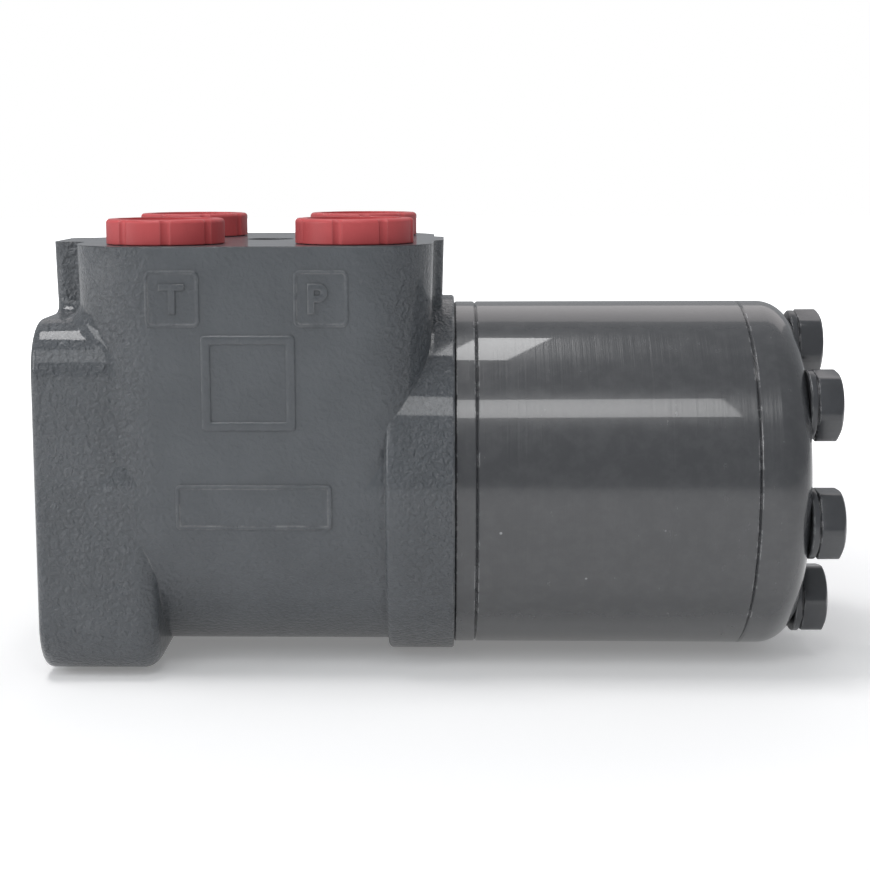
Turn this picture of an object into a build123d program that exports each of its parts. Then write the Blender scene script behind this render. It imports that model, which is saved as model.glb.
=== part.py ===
"""Orbital steering unit: a rotary steering valve with an orbiting gear set, four capped ports
and a seven-bolt end cover.

Frame: +X runs along the unit from the column mounting face to the cover, +Z points out of the
port face, the origin is on the spool axis in the plane of the mounting face. Units are mm.
"""

import os
from math import cos, hypot, pi, radians, sin

from build123d import *

os.makedirs("parts", exist_ok=True)

# ---- overall envelope -------------------------------------------------------------------------
housing_length = 101.0
plate_thickness = 5.3
gear_width = 66.6
cover_thickness = 13.3
ring_radius = 44.0
seam_chamfer = 0.45
through_margin = 1.0

plate_x = housing_length
gear_x = plate_x + plate_thickness
cover_x = gear_x + gear_width
cover_end_x = cover_x + cover_thickness

# ---- cast housing -----------------------------------------------------------------------------
flange_width = 83.0
flange_top_z = 42.5
flange_bottom_z = -44.5
flange_corner = 13.0
flange_depth = 29.0
flange_front_round = 2.0
flange_rear_round = 5.0
flange_mid_z = 30.0
barrel_radius = ring_radius - 0.8
barrel_start = 12.0
barrel_sink = 0.3
collar_radius = ring_radius + 1.7
collar_width = 16.5
collar_front_round = 1.2
block_flange_fillet = 4.0
block_front_x = 9.2
block_rear_x = housing_length - 5.1
block_half_depth = barrel_radius + 1.4
block_top_z = 60.2
block_front_corner = 21.0
block_rear_corner = 18.0
block_draft = 1.4
lug_front_x = 0.6
lug_rear_x = housing_length - 2.6
lug_half_width = 13.0
lug_corner = 3.0
lug_root_fillet = 4.0

# ---- mounting pattern on the column face ------------------------------------------------------
mount_circle_d = 82.55
mount_bolt_count = 4
mount_bolt_start = 45.0
mount_tap_d = 8.6
mount_tap_depth = 16.0

# ---- running clearances -----------------------------------------------------------------------
sleeve_clearance = 0.04
spool_clearance = 0.03
static_clearance = 0.05
end_gap = 0.4
gear_clearance = 0.06
spline_clearance = 0.38

# ---- control sleeve and spool -----------------------------------------------------------------
sleeve_radius = 19.0
spool_radius = 14.0
sleeve_start = 17.4
sleeve_end = housing_length - 0.8
spool_start = 1.6
spool_end = housing_length - 1.6
spool_hollow_radius = 10.6
spool_hollow_start = 30.4
input_spline_depth = 20.0
input_spline_teeth = 12
input_spline_root = 9.6
input_spline_tip = 8.2
input_mouth_chamfer = 0.8
valve_groove_depth = 0.9
valve_groove_width = 3.6
valve_groove_first = 44.0
valve_groove_pitch = 11.5
valve_groove_count = 5
metering_hole_d = 2.6
metering_hole_count = 12
spool_slot_width = 3.0
spool_slot_length = 14.0
spool_slot_depth = 1.4
spool_slot_count = 6
spool_slot_first = 50.0
spool_slot_pitch = 24.0
body_groove_radius = 21.2
body_groove_width = 4.6

# ---- centring springs, cross pin and retaining ring -------------------------------------------
spring_x = 26.0
spring_height = 6.0
spring_slot_height = 6.5
spring_slot_width = 4.8
leaf_thickness = 0.55
leaf_gap = 0.06
leaf_arch = 0.45
leaf_length = 34.6
flat_leaf_count = 2
arched_leaf_pairs = 2
sleeve_neck_radius = 17.75
sleeve_neck_width = 8.4
ring_band_outer = 18.75
ring_band_width = 7.6
cross_pin_x = 36.0
cross_pin_radius = 4.0
cross_pin_length = 36.8
cross_pin_chamfer = 0.6
spool_pin_slot_width = 12.8
spool_pin_slot_height = 8.5

# ---- front seals and thrust bearing -----------------------------------------------------------
dust_groove_radius = 18.6
dust_groove_start = 1.2
dust_groove_end = 5.2
seal_web_radius = 15.4
shaft_groove_radius = 18.2
shaft_groove_start = 7.0
bearing_start = 12.4
race_thickness = 1.4
needle_radius = 0.95
needle_count = 16
needle_inner = 14.9
needle_outer = 18.2
cage_thickness = 1.2
race_inner_radius = 14.35
race_outer_radius = 18.7
seal_lip_clearance = 0.12

# ---- gear set ---------------------------------------------------------------------------------
stator_lobe_count = 7
rotor_lobe_count = 6
lobe_circle_radius = 31.0
lobe_radius = 7.0
eccentricity = 3.4
stator_root_radius = 31.15
rotor_profile_steps = 26
root_crowding = 0.85
rotor_side_gap = 0.05
rotor_spline_teeth = 12
rotor_spline_root = 11.6
rotor_spline_tip = 10.0
rotor_spline_start = 8.0
rotor_spline_length = 26.0
rotor_bore_radius = 12.4
spacer_radius = 12.3
spacer_thickness = 3.0

# ---- cardan shaft -----------------------------------------------------------------------------
fork_radius = 9.3
fork_front = 5.0
fork_length = 15.0
fork_slot_width = 8.36
fork_slot_depth = 9.6
fork_slot_slip = 0.4
fork_edge_round = 1.5
cardan_neck_radius = 6.4
cardan_collar_radius = 8.0
cardan_neck_end = 16.0
cardan_head_length = 18.0

# ---- distributor plate ------------------------------------------------------------------------
plate_centre_radius = 12.2
plate_port_circle = 27.2
plate_port_radius = 2.4

# ---- cover bolts ------------------------------------------------------------------------------
gear_start = 90.0
cover_bolt_circle = 33.0
cover_bolt_radius = 4.9
cover_bolt_hole_radius = 5.25
cover_tap_radius = 5.0
cover_tap_depth = 14.0
cover_bolt_grip = 11.0
bolt_hex_flats = 16.0
bolt_head_height = 6.4
bolt_head_turn = 19.0
bolt_crown_chamfer = 0.9
bolt_crown_width = 1.05
bolt_crown_inset = 0.45
washer_radius = 8.6
washer_thickness = 1.7
washer_edge = 0.3

# ---- cover and face seals ---------------------------------------------------------------------
cover_rear_round = 8.0
cover_seat_depth = 0.3
cover_seat_margin = 0.4
seal_circle_radius = ring_radius - 2.9
seal_groove_width = 2.2
seal_groove_depth = 1.5
seal_section_radius = 0.72
seal_section_inset = 0.02

# ---- ports, plastic caps and check valve ------------------------------------------------------
port_front_x = 31.0
port_rear_x = housing_length - 24.2
port_offset = 26.0
port_thread_radius = 9.5
port_thread_depth = 16.0
port_spotface_radius = 13.2
port_spotface_depth = 0.5
port_chamfer = 1.0
gallery_radius = 4.6
passage_mouth_depth = 2.4
cap_radius = 14.3
cap_height = 5.9
cap_edge_round = 0.9
cap_flute_count = 8
cap_flute_radius = 1.5
cap_flute_offset = 15.2
cap_rim_radius = 11.6
cap_dish_depth = 1.1
cap_plug_radius = 9.15
cap_plug_length = 11.0
cap_plug_wall = 1.8
cap_seat_gap = 0.15
cap_turns = (8.0, -14.0, 19.0, 3.0)
check_x = 54.0
check_y = 0.0
check_ball_radius = 4.25
check_bore_radius = 4.6
check_bore_bottom = 30.0
check_seat_radius = 3.0
check_seat_bottom = 20.0
check_tap_radius = 6.0
check_tap_bottom = 44.0
bush_height = 8.0
bush_recess = 3.0
bush_hex_flats = 6.0
bush_hex_depth = 4.5
ball_lift = 2.0
stop_pin_radius = 1.6
stop_pin_gap = 0.3
stop_pin_collar = 2.0

axis_plane = Plane.YZ


def export(part, label):
    """Label a finished part and write it as parts/<label>.step."""
    part.label = label
    export_step(part, f"parts/{label}.step")


def radial(distance, angle, along):
    """Point at a distance from the spool axis, at an angle from +Y towards +Z."""
    return (along, distance * cos(radians(angle)), distance * sin(radians(angle)))


def rotor_profile_points():
    """Points of the rotor flank: the curve that stays tangent to every stator lobe."""
    offset_radius = lobe_radius + gear_clearance
    lobes = stator_lobe_count
    count = rotor_lobe_count * rotor_profile_steps
    points = []
    for index in range(count):
        step = 2 * pi * index / count
        t = step - root_crowding * sin(rotor_lobe_count * step) / rotor_lobe_count
        centre_u = lobe_circle_radius * cos(t) - eccentricity * cos(lobes * t)
        centre_v = lobe_circle_radius * sin(t) - eccentricity * sin(lobes * t)
        slope_u = -lobe_circle_radius * sin(t) + lobes * eccentricity * sin(lobes * t)
        slope_v = lobe_circle_radius * cos(t) - lobes * eccentricity * cos(lobes * t)
        length = hypot(slope_u, slope_v)
        points.append((centre_u - offset_radius * slope_v / length,
                       centre_v + offset_radius * slope_u / length))
    return points


def spline_outline(teeth, root_radius, tip_radius, inset=0.0):
    """Corner points of a straight-flanked spline; a negative inset gives a looser outline."""
    points = []
    pitch = 2 * pi / teeth
    shares = ((-0.36, root_radius), (-0.20, tip_radius), (0.20, tip_radius), (0.36, root_radius))
    for tooth in range(teeth):
        for share, radius in shares:
            lean = inset / radius * (1 if share > 0 else -1)
            angle = tooth * pitch + share * pitch + lean
            points.append(((radius - inset) * cos(angle), (radius - inset) * sin(angle)))
    return points


bolt_angles = [gear_start + 360.0 * index / stator_lobe_count for index in range(stator_lobe_count)]
chamber_angles = [angle + 180.0 / stator_lobe_count for angle in bolt_angles]
port_places = {
    "t": (port_front_x, -port_offset),
    "p": (port_rear_x, -port_offset),
    "l": (port_front_x, port_offset),
    "r": (port_rear_x, port_offset),
}
bearing_end = bearing_start + 2 * race_thickness + 2 * needle_radius
sleeve_bore_radius = sleeve_radius + sleeve_clearance
spool_bore_radius = spool_radius + spool_clearance
groove_stations = [valve_groove_first + valve_groove_pitch * i for i in range(valve_groove_count)]

# ---- housing ----------------------------------------------------------------------------------
with BuildPart() as housing:
    with BuildSketch(axis_plane):
        with Locations((0, (flange_top_z + flange_bottom_z) / 2)):
            RectangleRounded(flange_width, flange_top_z - flange_bottom_z, flange_corner)
    extrude(amount=flange_depth)
    fillet(housing.faces().sort_by(Axis.X)[-1].edges(), flange_rear_round)
    fillet(housing.faces().sort_by(Axis.X)[0].edges(), flange_front_round)
    with BuildSketch(Plane.XY):
        with BuildLine():
            Polyline(
                (barrel_start, 0),
                (barrel_start, flange_width / 2 - barrel_sink),
                (flange_depth, barrel_radius),
                (housing_length - collar_width, barrel_radius),
                (housing_length - collar_width, collar_radius),
                (housing_length, collar_radius),
                (housing_length, 0),
                close=True,
            )
        make_face()
        step = vertices().filter_by_position(
            Axis.X, housing_length - collar_width - end_gap, housing_length - collar_width + end_gap
        )
        fillet(step.sort_by(Axis.Y)[-1:], collar_front_round)
    revolve(axis=Axis.X)
    with BuildSketch(Plane.XY.offset(block_top_z)):
        with Locations(((block_front_x + block_rear_x) / 2, 0)):
            Rectangle(block_rear_x - block_front_x, 2 * block_half_depth)
        fillet(vertices().sort_by(Axis.X)[:2], block_front_corner)
        fillet(vertices().sort_by(Axis.X)[-2:], block_rear_corner)
        with Locations(((lug_front_x + lug_rear_x) / 2, 0)):
            RectangleRounded(lug_rear_x - lug_front_x, 2 * lug_half_width, lug_corner)
        lug_roots = vertices().filter_by(lambda v: abs(abs(v.Y) - lug_half_width) < end_gap)
        lug_roots = lug_roots.filter_by_position(Axis.X, block_front_x - end_gap, block_rear_x + end_gap)
        fillet(lug_roots, lug_root_fillet)
    extrude(amount=-block_top_z, taper=block_draft)
    block_root = housing.edges(Select.NEW).filter_by_position(Axis.Z, flange_mid_z, flange_top_z + end_gap)
    fillet(block_root.filter_by_position(Axis.X, 0, flange_depth), block_flange_fillet)

    # stepped bore for the seals, the thrust bearing and the control set
    with BuildSketch(Plane.XY):
        with BuildLine():
            Polyline(
                (-end_gap, 0),
                (-end_gap, seal_web_radius),
                (dust_groove_start, seal_web_radius),
                (dust_groove_start, dust_groove_radius),
                (dust_groove_end, dust_groove_radius),
                (dust_groove_end, seal_web_radius),
                (shaft_groove_start, seal_web_radius),
                (shaft_groove_start, shaft_groove_radius),
                (bearing_start, shaft_groove_radius),
                (bearing_start, sleeve_bore_radius),
                (housing_length + end_gap, sleeve_bore_radius),
                (housing_length + end_gap, 0),
                close=True,
            )
        make_face()
    revolve(axis=Axis.X, mode=Mode.SUBTRACT)
    for station in groove_stations:
        with BuildSketch(axis_plane.offset(station - body_groove_width / 2)):
            Circle(body_groove_radius)
            Circle(sleeve_bore_radius - end_gap, mode=Mode.SUBTRACT)
        extrude(amount=body_groove_width, mode=Mode.SUBTRACT)

    # threaded ports, each with the mouth of its gallery at the bottom
    for place_x, place_y in port_places.values():
        with BuildSketch(Plane.XY.offset(block_top_z)):
            with Locations((place_x, place_y)):
                Circle(port_spotface_radius)
        extrude(amount=-port_spotface_depth, mode=Mode.SUBTRACT)
        with BuildSketch(Plane.XY.offset(block_top_z - port_spotface_depth)):
            with Locations((place_x, place_y)):
                Circle(port_thread_radius)
        extrude(amount=-port_thread_depth, mode=Mode.SUBTRACT)
        with BuildSketch(Plane.XY.offset(block_top_z - port_thread_depth)):
            with Locations((place_x, place_y)):
                Circle(gallery_radius)
        extrude(amount=-port_spotface_depth - passage_mouth_depth, mode=Mode.SUBTRACT)

    # check valve bore between the ports
    check_steps = (
        (check_tap_radius, block_top_z, check_tap_bottom),
        (check_bore_radius, check_tap_bottom, check_bore_bottom),
        (check_seat_radius, check_bore_bottom, check_seat_bottom),
    )
    for bore_radius, top, bottom in check_steps:
        with BuildSketch(Plane.XY.offset(top)):
            with Locations((check_x, check_y)):
                Circle(bore_radius)
        extrude(amount=bottom - top, mode=Mode.SUBTRACT)

    # tapped holes of the mounting face and of the cover bolts, chamber mouths, seal groove
    with BuildSketch(axis_plane):
        with PolarLocations(mount_circle_d / 2, mount_bolt_count, start_angle=mount_bolt_start):
            Circle(mount_tap_d / 2)
    extrude(amount=mount_tap_depth, mode=Mode.SUBTRACT)
    with BuildSketch(axis_plane.offset(housing_length)):
        with PolarLocations(cover_bolt_circle, stator_lobe_count, start_angle=gear_start):
            Circle(cover_tap_radius)
    extrude(amount=-cover_tap_depth, mode=Mode.SUBTRACT)
    with BuildSketch(axis_plane.offset(housing_length)):
        with PolarLocations(plate_port_circle, stator_lobe_count, start_angle=chamber_angles[0]):
            Circle(plate_port_radius)
    extrude(amount=-passage_mouth_depth, mode=Mode.SUBTRACT)
    with BuildSketch(axis_plane.offset(housing_length)):
        Circle(seal_circle_radius + seal_groove_width / 2)
        Circle(seal_circle_radius - seal_groove_width / 2, mode=Mode.SUBTRACT)
    extrude(amount=-seal_groove_depth, mode=Mode.SUBTRACT)
    rear_rim = housing.edges().filter_by(GeomType.CIRCLE)
    rear_rim = rear_rim.filter_by_position(Axis.X, housing_length - end_gap, housing_length + end_gap)
    rear_rim = rear_rim.sort_by(SortBy.RADIUS)[-1]
    chamfer(rear_rim, seam_chamfer)
export(housing.part, "housing")

# ---- front seals and thrust bearing -----------------------------------------------------------
with BuildPart() as dust_seal:
    with BuildSketch(Plane.XY):
        with BuildLine():
            Polyline(
                (dust_groove_start + static_clearance, dust_groove_radius - static_clearance),
                (dust_groove_end - static_clearance, dust_groove_radius - static_clearance),
                (dust_groove_end - static_clearance, seal_web_radius),
                (dust_groove_end - end_gap, spool_radius + seal_lip_clearance + end_gap),
                (dust_groove_start + 2 * end_gap, spool_radius + seal_lip_clearance),
                (dust_groove_start - 2 * end_gap, spool_radius + seal_lip_clearance),
                (dust_groove_start - 2 * end_gap, seal_web_radius - end_gap),
                (dust_groove_start + static_clearance, seal_web_radius - end_gap),
                close=True,
            )
        make_face()
    revolve(axis=Axis.X)
export(dust_seal.part, "dust_seal")

with BuildPart() as shaft_seal:
    with BuildSketch(Plane.XY):
        with BuildLine():
            Polyline(
                (shaft_groove_start + static_clearance, shaft_groove_radius - static_clearance),
                (bearing_start - static_clearance, shaft_groove_radius - static_clearance),
                (bearing_start - static_clearance, seal_web_radius + end_gap),
                (shaft_groove_start + 3 * end_gap, seal_web_radius + end_gap),
                (shaft_groove_start + 5 * end_gap, spool_radius + seal_lip_clearance),
                (shaft_groove_start + static_clearance, spool_radius + seal_lip_clearance),
                close=True,
            )
        make_face()
    revolve(axis=Axis.X)
export(shaft_seal.part, "shaft_seal")


def washer_part(name, start, thickness, inner, outer, edge):
    """Write a flat ring with lightly broken edges."""
    with BuildPart() as ring:
        with BuildSketch(axis_plane.offset(start)):
            Circle(outer)
            Circle(inner, mode=Mode.SUBTRACT)
        extrude(amount=thickness)
        chamfer(ring.edges().filter_by(GeomType.CIRCLE), edge)
    export(ring.part, name)


washer_part("bearing_race_outer", bearing_start, race_thickness - static_clearance,
            race_inner_radius, race_outer_radius, cage_thickness / 8)
washer_part("bearing_race_inner", bearing_end - race_thickness + static_clearance,
            race_thickness - static_clearance, race_inner_radius, race_outer_radius, cage_thickness / 8)

with BuildPart() as needle_cage:
    cage_start = bearing_start + race_thickness + needle_radius - cage_thickness / 2
    with BuildSketch(axis_plane.offset(cage_start)):
        Circle(race_outer_radius - static_clearance)
        Circle(race_inner_radius, mode=Mode.SUBTRACT)
        with PolarLocations((needle_inner + needle_outer) / 2, needle_count):
            Rectangle(needle_outer - needle_inner + end_gap, 2 * (needle_radius + static_clearance),
                      mode=Mode.SUBTRACT)
    extrude(amount=cage_thickness)
needle_centre_x = bearing_start + race_thickness + needle_radius
needles = []
for index in range(needle_count):
    needle_angle = 360.0 * index / needle_count
    inner_point = Vector(*radial(needle_inner, needle_angle, needle_centre_x))
    outer_point = Vector(*radial(needle_outer, needle_angle, needle_centre_x))
    with BuildPart() as needle:
        with BuildSketch(Plane(origin=inner_point, z_dir=outer_point - inner_point)):
            Circle(needle_radius - static_clearance)
        extrude(amount=needle_outer - needle_inner)
    needles.append(needle.part.solid())
export(Compound(children=[needle_cage.part.solid(), *needles]), "needle_cage")

# ---- control sleeve ---------------------------------------------------------------------------
with BuildPart() as control_sleeve:
    with BuildSketch(axis_plane.offset(sleeve_start)):
        Circle(sleeve_radius)
    extrude(amount=sleeve_end - sleeve_start)
    chamfer(control_sleeve.edges().filter_by(GeomType.CIRCLE), end_gap)
    with BuildSketch(axis_plane.offset(spring_x - sleeve_neck_width / 2)):
        Circle(sleeve_radius + end_gap)
        Circle(sleeve_neck_radius, mode=Mode.SUBTRACT)
    extrude(amount=sleeve_neck_width, mode=Mode.SUBTRACT)
    for station in groove_stations:
        with BuildSketch(axis_plane.offset(station - valve_groove_width / 2)):
            Circle(sleeve_radius + end_gap)
            Circle(sleeve_radius - valve_groove_depth, mode=Mode.SUBTRACT)
        extrude(amount=valve_groove_width, mode=Mode.SUBTRACT)
    with BuildSketch(axis_plane.offset(sleeve_start - end_gap)):
        Circle(spool_bore_radius)
    extrude(amount=sleeve_end - sleeve_start + 2 * end_gap, mode=Mode.SUBTRACT)
    with BuildSketch(Plane.XZ):
        with Locations((spring_x, 0)):
            Rectangle(spring_slot_height, spring_slot_width)
    extrude(amount=sleeve_radius + through_margin, both=True, mode=Mode.SUBTRACT)
    with BuildSketch(Plane.XY):
        with Locations((cross_pin_x, 0)):
            Circle(cross_pin_radius + static_clearance)
    extrude(amount=sleeve_radius + through_margin, both=True, mode=Mode.SUBTRACT)
    for row, station in enumerate(groove_stations):
        turn = row * 180.0 / metering_hole_count
        for index in range(metering_hole_count // 2):
            hole_plane = Plane(origin=(station, 0, 0), x_dir=(1, 0, 0),
                               z_dir=radial(1, turn + 360.0 * index / metering_hole_count, 0))
            with BuildSketch(hole_plane):
                Circle(metering_hole_d / 2)
            extrude(amount=sleeve_radius + through_margin, both=True, mode=Mode.SUBTRACT)
export(control_sleeve.part, "control_sleeve")

# ---- control spool ----------------------------------------------------------------------------
with BuildPart() as control_spool:
    with BuildSketch(axis_plane.offset(spool_start)):
        Circle(spool_radius)
    extrude(amount=spool_end - spool_start)
    chamfer(control_spool.edges().filter_by(GeomType.CIRCLE), input_mouth_chamfer)
    with BuildSketch(axis_plane.offset(spool_start)):
        Polygon(*spline_outline(input_spline_teeth, input_spline_root, input_spline_tip), align=None)
    extrude(amount=input_spline_depth, mode=Mode.SUBTRACT)
    with BuildSketch(axis_plane.offset(spool_hollow_start)):
        Circle(spool_hollow_radius)
    extrude(amount=spool_end - spool_hollow_start + end_gap, mode=Mode.SUBTRACT)
    with BuildSketch(Plane.XZ):
        with Locations((spring_x, 0)):
            Rectangle(spring_slot_height, spring_slot_width)
    extrude(amount=spool_radius + through_margin, both=True, mode=Mode.SUBTRACT)
    with BuildSketch(Plane.XY):
        with Locations((cross_pin_x, 0)):
            SlotOverall(spool_pin_slot_width, spool_pin_slot_height, rotation=90)
    extrude(amount=spool_radius + through_margin, both=True, mode=Mode.SUBTRACT)
    for row in range(2):
        for index in range(spool_slot_count):
            slot_angle = 360.0 * index / spool_slot_count + row * 180.0 / spool_slot_count
            origin = radial(spool_radius - spool_slot_depth, slot_angle, spool_slot_first + row * spool_slot_pitch)
            with BuildSketch(Plane(origin=origin, x_dir=(1, 0, 0), z_dir=radial(1, slot_angle, 0))):
                SlotOverall(spool_slot_length, spool_slot_width)
            extrude(amount=spool_slot_depth + through_margin, mode=Mode.SUBTRACT)
export(control_spool.part, "control_spool")

washer_part("spring_retaining_ring", spring_x - ring_band_width / 2, ring_band_width,
            sleeve_neck_radius + static_clearance, ring_band_outer, cage_thickness / 8)

leaves = []
for index in range(flat_leaf_count):
    level = (index - (flat_leaf_count - 1) / 2) * (leaf_thickness + leaf_gap)
    with BuildPart() as leaf:
        with BuildSketch(Plane.XY.offset(level - leaf_thickness / 2)):
            with Locations((spring_x, 0)):
                Rectangle(spring_height, leaf_length)
        extrude(amount=leaf_thickness)
    leaves.append(leaf.part.solid())
for side in (1, -1):
    for index in range(arched_leaf_pairs):
        base = (leaf_thickness + leaf_gap) * (index + flat_leaf_count / 2) + leaf_gap / 2
        inner_end = side * (base + leaf_arch)
        outer_end = side * (base + leaf_arch + leaf_thickness)
        with BuildPart() as leaf:
            with BuildSketch(axis_plane.offset(spring_x - spring_height / 2)):
                with BuildLine():
                    ThreePointArc((-leaf_length / 2, inner_end), (0, side * base), (leaf_length / 2, inner_end))
                    Line((leaf_length / 2, inner_end), (leaf_length / 2, outer_end))
                    ThreePointArc((leaf_length / 2, outer_end), (0, side * (base + leaf_thickness)),
                                  (-leaf_length / 2, outer_end))
                    Line((-leaf_length / 2, outer_end), (-leaf_length / 2, inner_end))
                make_face()
            extrude(amount=spring_height)
        leaves.append(leaf.part.solid())
export(Compound(children=leaves), "centering_springs")

with BuildPart() as cross_pin:
    with BuildSketch(Plane.XY.offset(-cross_pin_length / 2)):
        with Locations((cross_pin_x, 0)):
            Circle(cross_pin_radius)
    extrude(amount=cross_pin_length)
    chamfer(cross_pin.edges().filter_by(GeomType.CIRCLE), cross_pin_chamfer)
export(cross_pin.part, "cross_pin")

# ---- gear set ---------------------------------------------------------------------------------
rotor_start = gear_x + rotor_side_gap
rotor_end = cover_x - rotor_side_gap
rotor_plane = Plane(origin=(rotor_start, 0, eccentricity), x_dir=(0, 0, 1), z_dir=(1, 0, 0))
with BuildPart() as rotor:
    with BuildSketch(rotor_plane):
        with BuildLine():
            Spline(*rotor_profile_points(), periodic=True)
        make_face()
    extrude(amount=rotor_end - rotor_start)
    with BuildSketch(rotor_plane):
        Circle(rotor_bore_radius)
    extrude(amount=rotor_end - rotor_start, mode=Mode.SUBTRACT)
    with BuildSketch(rotor_plane.offset(rotor_spline_start)):
        Circle(rotor_bore_radius + end_gap / 4)
        Polygon(*spline_outline(rotor_spline_teeth, rotor_spline_root, rotor_spline_tip), align=None,
                mode=Mode.SUBTRACT)
    extrude(amount=rotor_spline_length)
export(rotor.part, "rotor")

with BuildPart() as stator_ring:
    with BuildSketch(axis_plane.offset(gear_x)):
        Circle(ring_radius)
        Circle(stator_root_radius, mode=Mode.SUBTRACT)
        with PolarLocations(lobe_circle_radius, stator_lobe_count, start_angle=gear_start):
            Circle(lobe_radius)
        with PolarLocations(cover_bolt_circle, stator_lobe_count, start_angle=gear_start):
            Circle(cover_bolt_hole_radius, mode=Mode.SUBTRACT)
    extrude(amount=gear_width)
    outer_rims = stator_ring.edges().filter_by(GeomType.CIRCLE).filter_by(
        lambda e: abs(e.radius - ring_radius) < static_clearance
    )
    chamfer(outer_rims, seam_chamfer)
    for groove_x, inward in ((gear_x, 1), (cover_x, -1)):
        with BuildSketch(axis_plane.offset(groove_x)):
            Circle(seal_circle_radius + seal_groove_width / 2)
            Circle(seal_circle_radius - seal_groove_width / 2, mode=Mode.SUBTRACT)
        extrude(amount=inward * seal_groove_depth, mode=Mode.SUBTRACT)
export(stator_ring.part, "stator_ring")

with BuildPart() as distributor_plate:
    with BuildSketch(axis_plane.offset(plate_x)):
        Circle(ring_radius)
        Circle(plate_centre_radius, mode=Mode.SUBTRACT)
        with PolarLocations(plate_port_circle, stator_lobe_count, start_angle=chamber_angles[0]):
            Circle(plate_port_radius, mode=Mode.SUBTRACT)
        with PolarLocations(cover_bolt_circle, stator_lobe_count, start_angle=gear_start):
            Circle(cover_bolt_hole_radius, mode=Mode.SUBTRACT)
    extrude(amount=plate_thickness)
    plate_rims = distributor_plate.edges().filter_by(GeomType.CIRCLE).filter_by(
        lambda e: abs(e.radius - ring_radius) < static_clearance
    )
    chamfer(plate_rims, seam_chamfer)
export(distributor_plate.part, "distributor_plate")

seal_offset = seal_section_radius + seal_section_inset
for seal_name, seal_x in (("o_ring_front", plate_x - seal_offset),
                          ("o_ring_middle", gear_x + seal_offset),
                          ("o_ring_rear", cover_x - seal_offset)):
    with BuildPart() as o_ring:
        with BuildSketch(Plane.XY):
            with Locations((seal_x, seal_circle_radius)):
                Circle(seal_section_radius)
        revolve(axis=Axis.X)
    export(o_ring.part, seal_name)

# ---- cardan shaft, leaning from the cross pin to the rotor centre ------------------------------
spline_centre_x = rotor_start + rotor_spline_start + rotor_spline_length / 2
cardan_span = hypot(spline_centre_x - cross_pin_x, eccentricity)
cardan_direction = Vector(spline_centre_x - cross_pin_x, 0, eccentricity)
cardan_plane = Plane(origin=(cross_pin_x, 0, 0), x_dir=cardan_direction,
                     z_dir=(-eccentricity, 0, spline_centre_x - cross_pin_x))
head_plane = Plane(origin=(cross_pin_x, 0, 0), x_dir=(0, 1, 0), z_dir=cardan_direction)
head_start = cardan_span - cardan_head_length / 2
with BuildPart() as cardan_shaft:
    with BuildSketch(cardan_plane):
        with BuildLine():
            Polyline(
                (-fork_front, 0),
                (-fork_front, fork_radius - fork_edge_round),
                (-fork_front + fork_edge_round, fork_radius),
                (fork_length - fork_front - fork_edge_round, fork_radius),
                (fork_length, cardan_neck_radius),
                (head_start - cardan_neck_end, cardan_neck_radius),
                (head_start - cardan_neck_end / 2, cardan_collar_radius),
                (head_start + end_gap, cardan_collar_radius),
                (head_start + end_gap, 0),
                close=True,
            )
        make_face()
    revolve(axis=Axis(origin=(cross_pin_x, 0, 0), direction=cardan_direction))
    with BuildSketch(head_plane.offset(head_start)):
        Polygon(*spline_outline(rotor_spline_teeth, rotor_spline_root, rotor_spline_tip, spline_clearance),
                align=None)
    extrude(amount=cardan_head_length)
    with BuildSketch(cardan_plane):
        with Locations((fork_slot_slip, 0)):
            Circle(fork_slot_width / 2)
        with Locations(((fork_slot_slip - fork_slot_depth) / 2, 0)):
            Rectangle(fork_slot_slip + fork_slot_depth, fork_slot_width)
    extrude(amount=fork_radius + through_margin, both=True, mode=Mode.SUBTRACT)
export(cardan_shaft.part, "cardan_shaft")

with BuildPart() as rotor_spacer:
    with BuildSketch(Plane(origin=(rotor_end, 0, eccentricity), x_dir=(0, 1, 0), z_dir=(-1, 0, 0))):
        Circle(spacer_radius)
    extrude(amount=spacer_thickness)
    chamfer(rotor_spacer.edges().filter_by(GeomType.CIRCLE), end_gap)
export(rotor_spacer.part, "rotor_spacer")

# ---- end cover and its bolts ------------------------------------------------------------------
with BuildPart() as end_cover:
    with BuildSketch(axis_plane.offset(cover_x)):
        Circle(ring_radius)
    extrude(amount=cover_thickness)
    fillet(end_cover.edges().sort_by(Axis.X)[-1], cover_rear_round)
    chamfer(end_cover.edges().filter_by(GeomType.CIRCLE).sort_by(Axis.X)[0], seam_chamfer)
    with BuildSketch(axis_plane.offset(cover_x)):
        with PolarLocations(cover_bolt_circle, stator_lobe_count, start_angle=gear_start):
            Circle(cover_bolt_hole_radius)
    extrude(amount=cover_thickness, mode=Mode.SUBTRACT)
    with BuildSketch(axis_plane.offset(cover_end_x - cover_seat_depth)):
        with PolarLocations(cover_bolt_circle, stator_lobe_count, start_angle=gear_start):
            Circle(washer_radius + cover_seat_margin)
    extrude(amount=cover_rear_round, mode=Mode.SUBTRACT)
export(end_cover.part, "end_cover")

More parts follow.
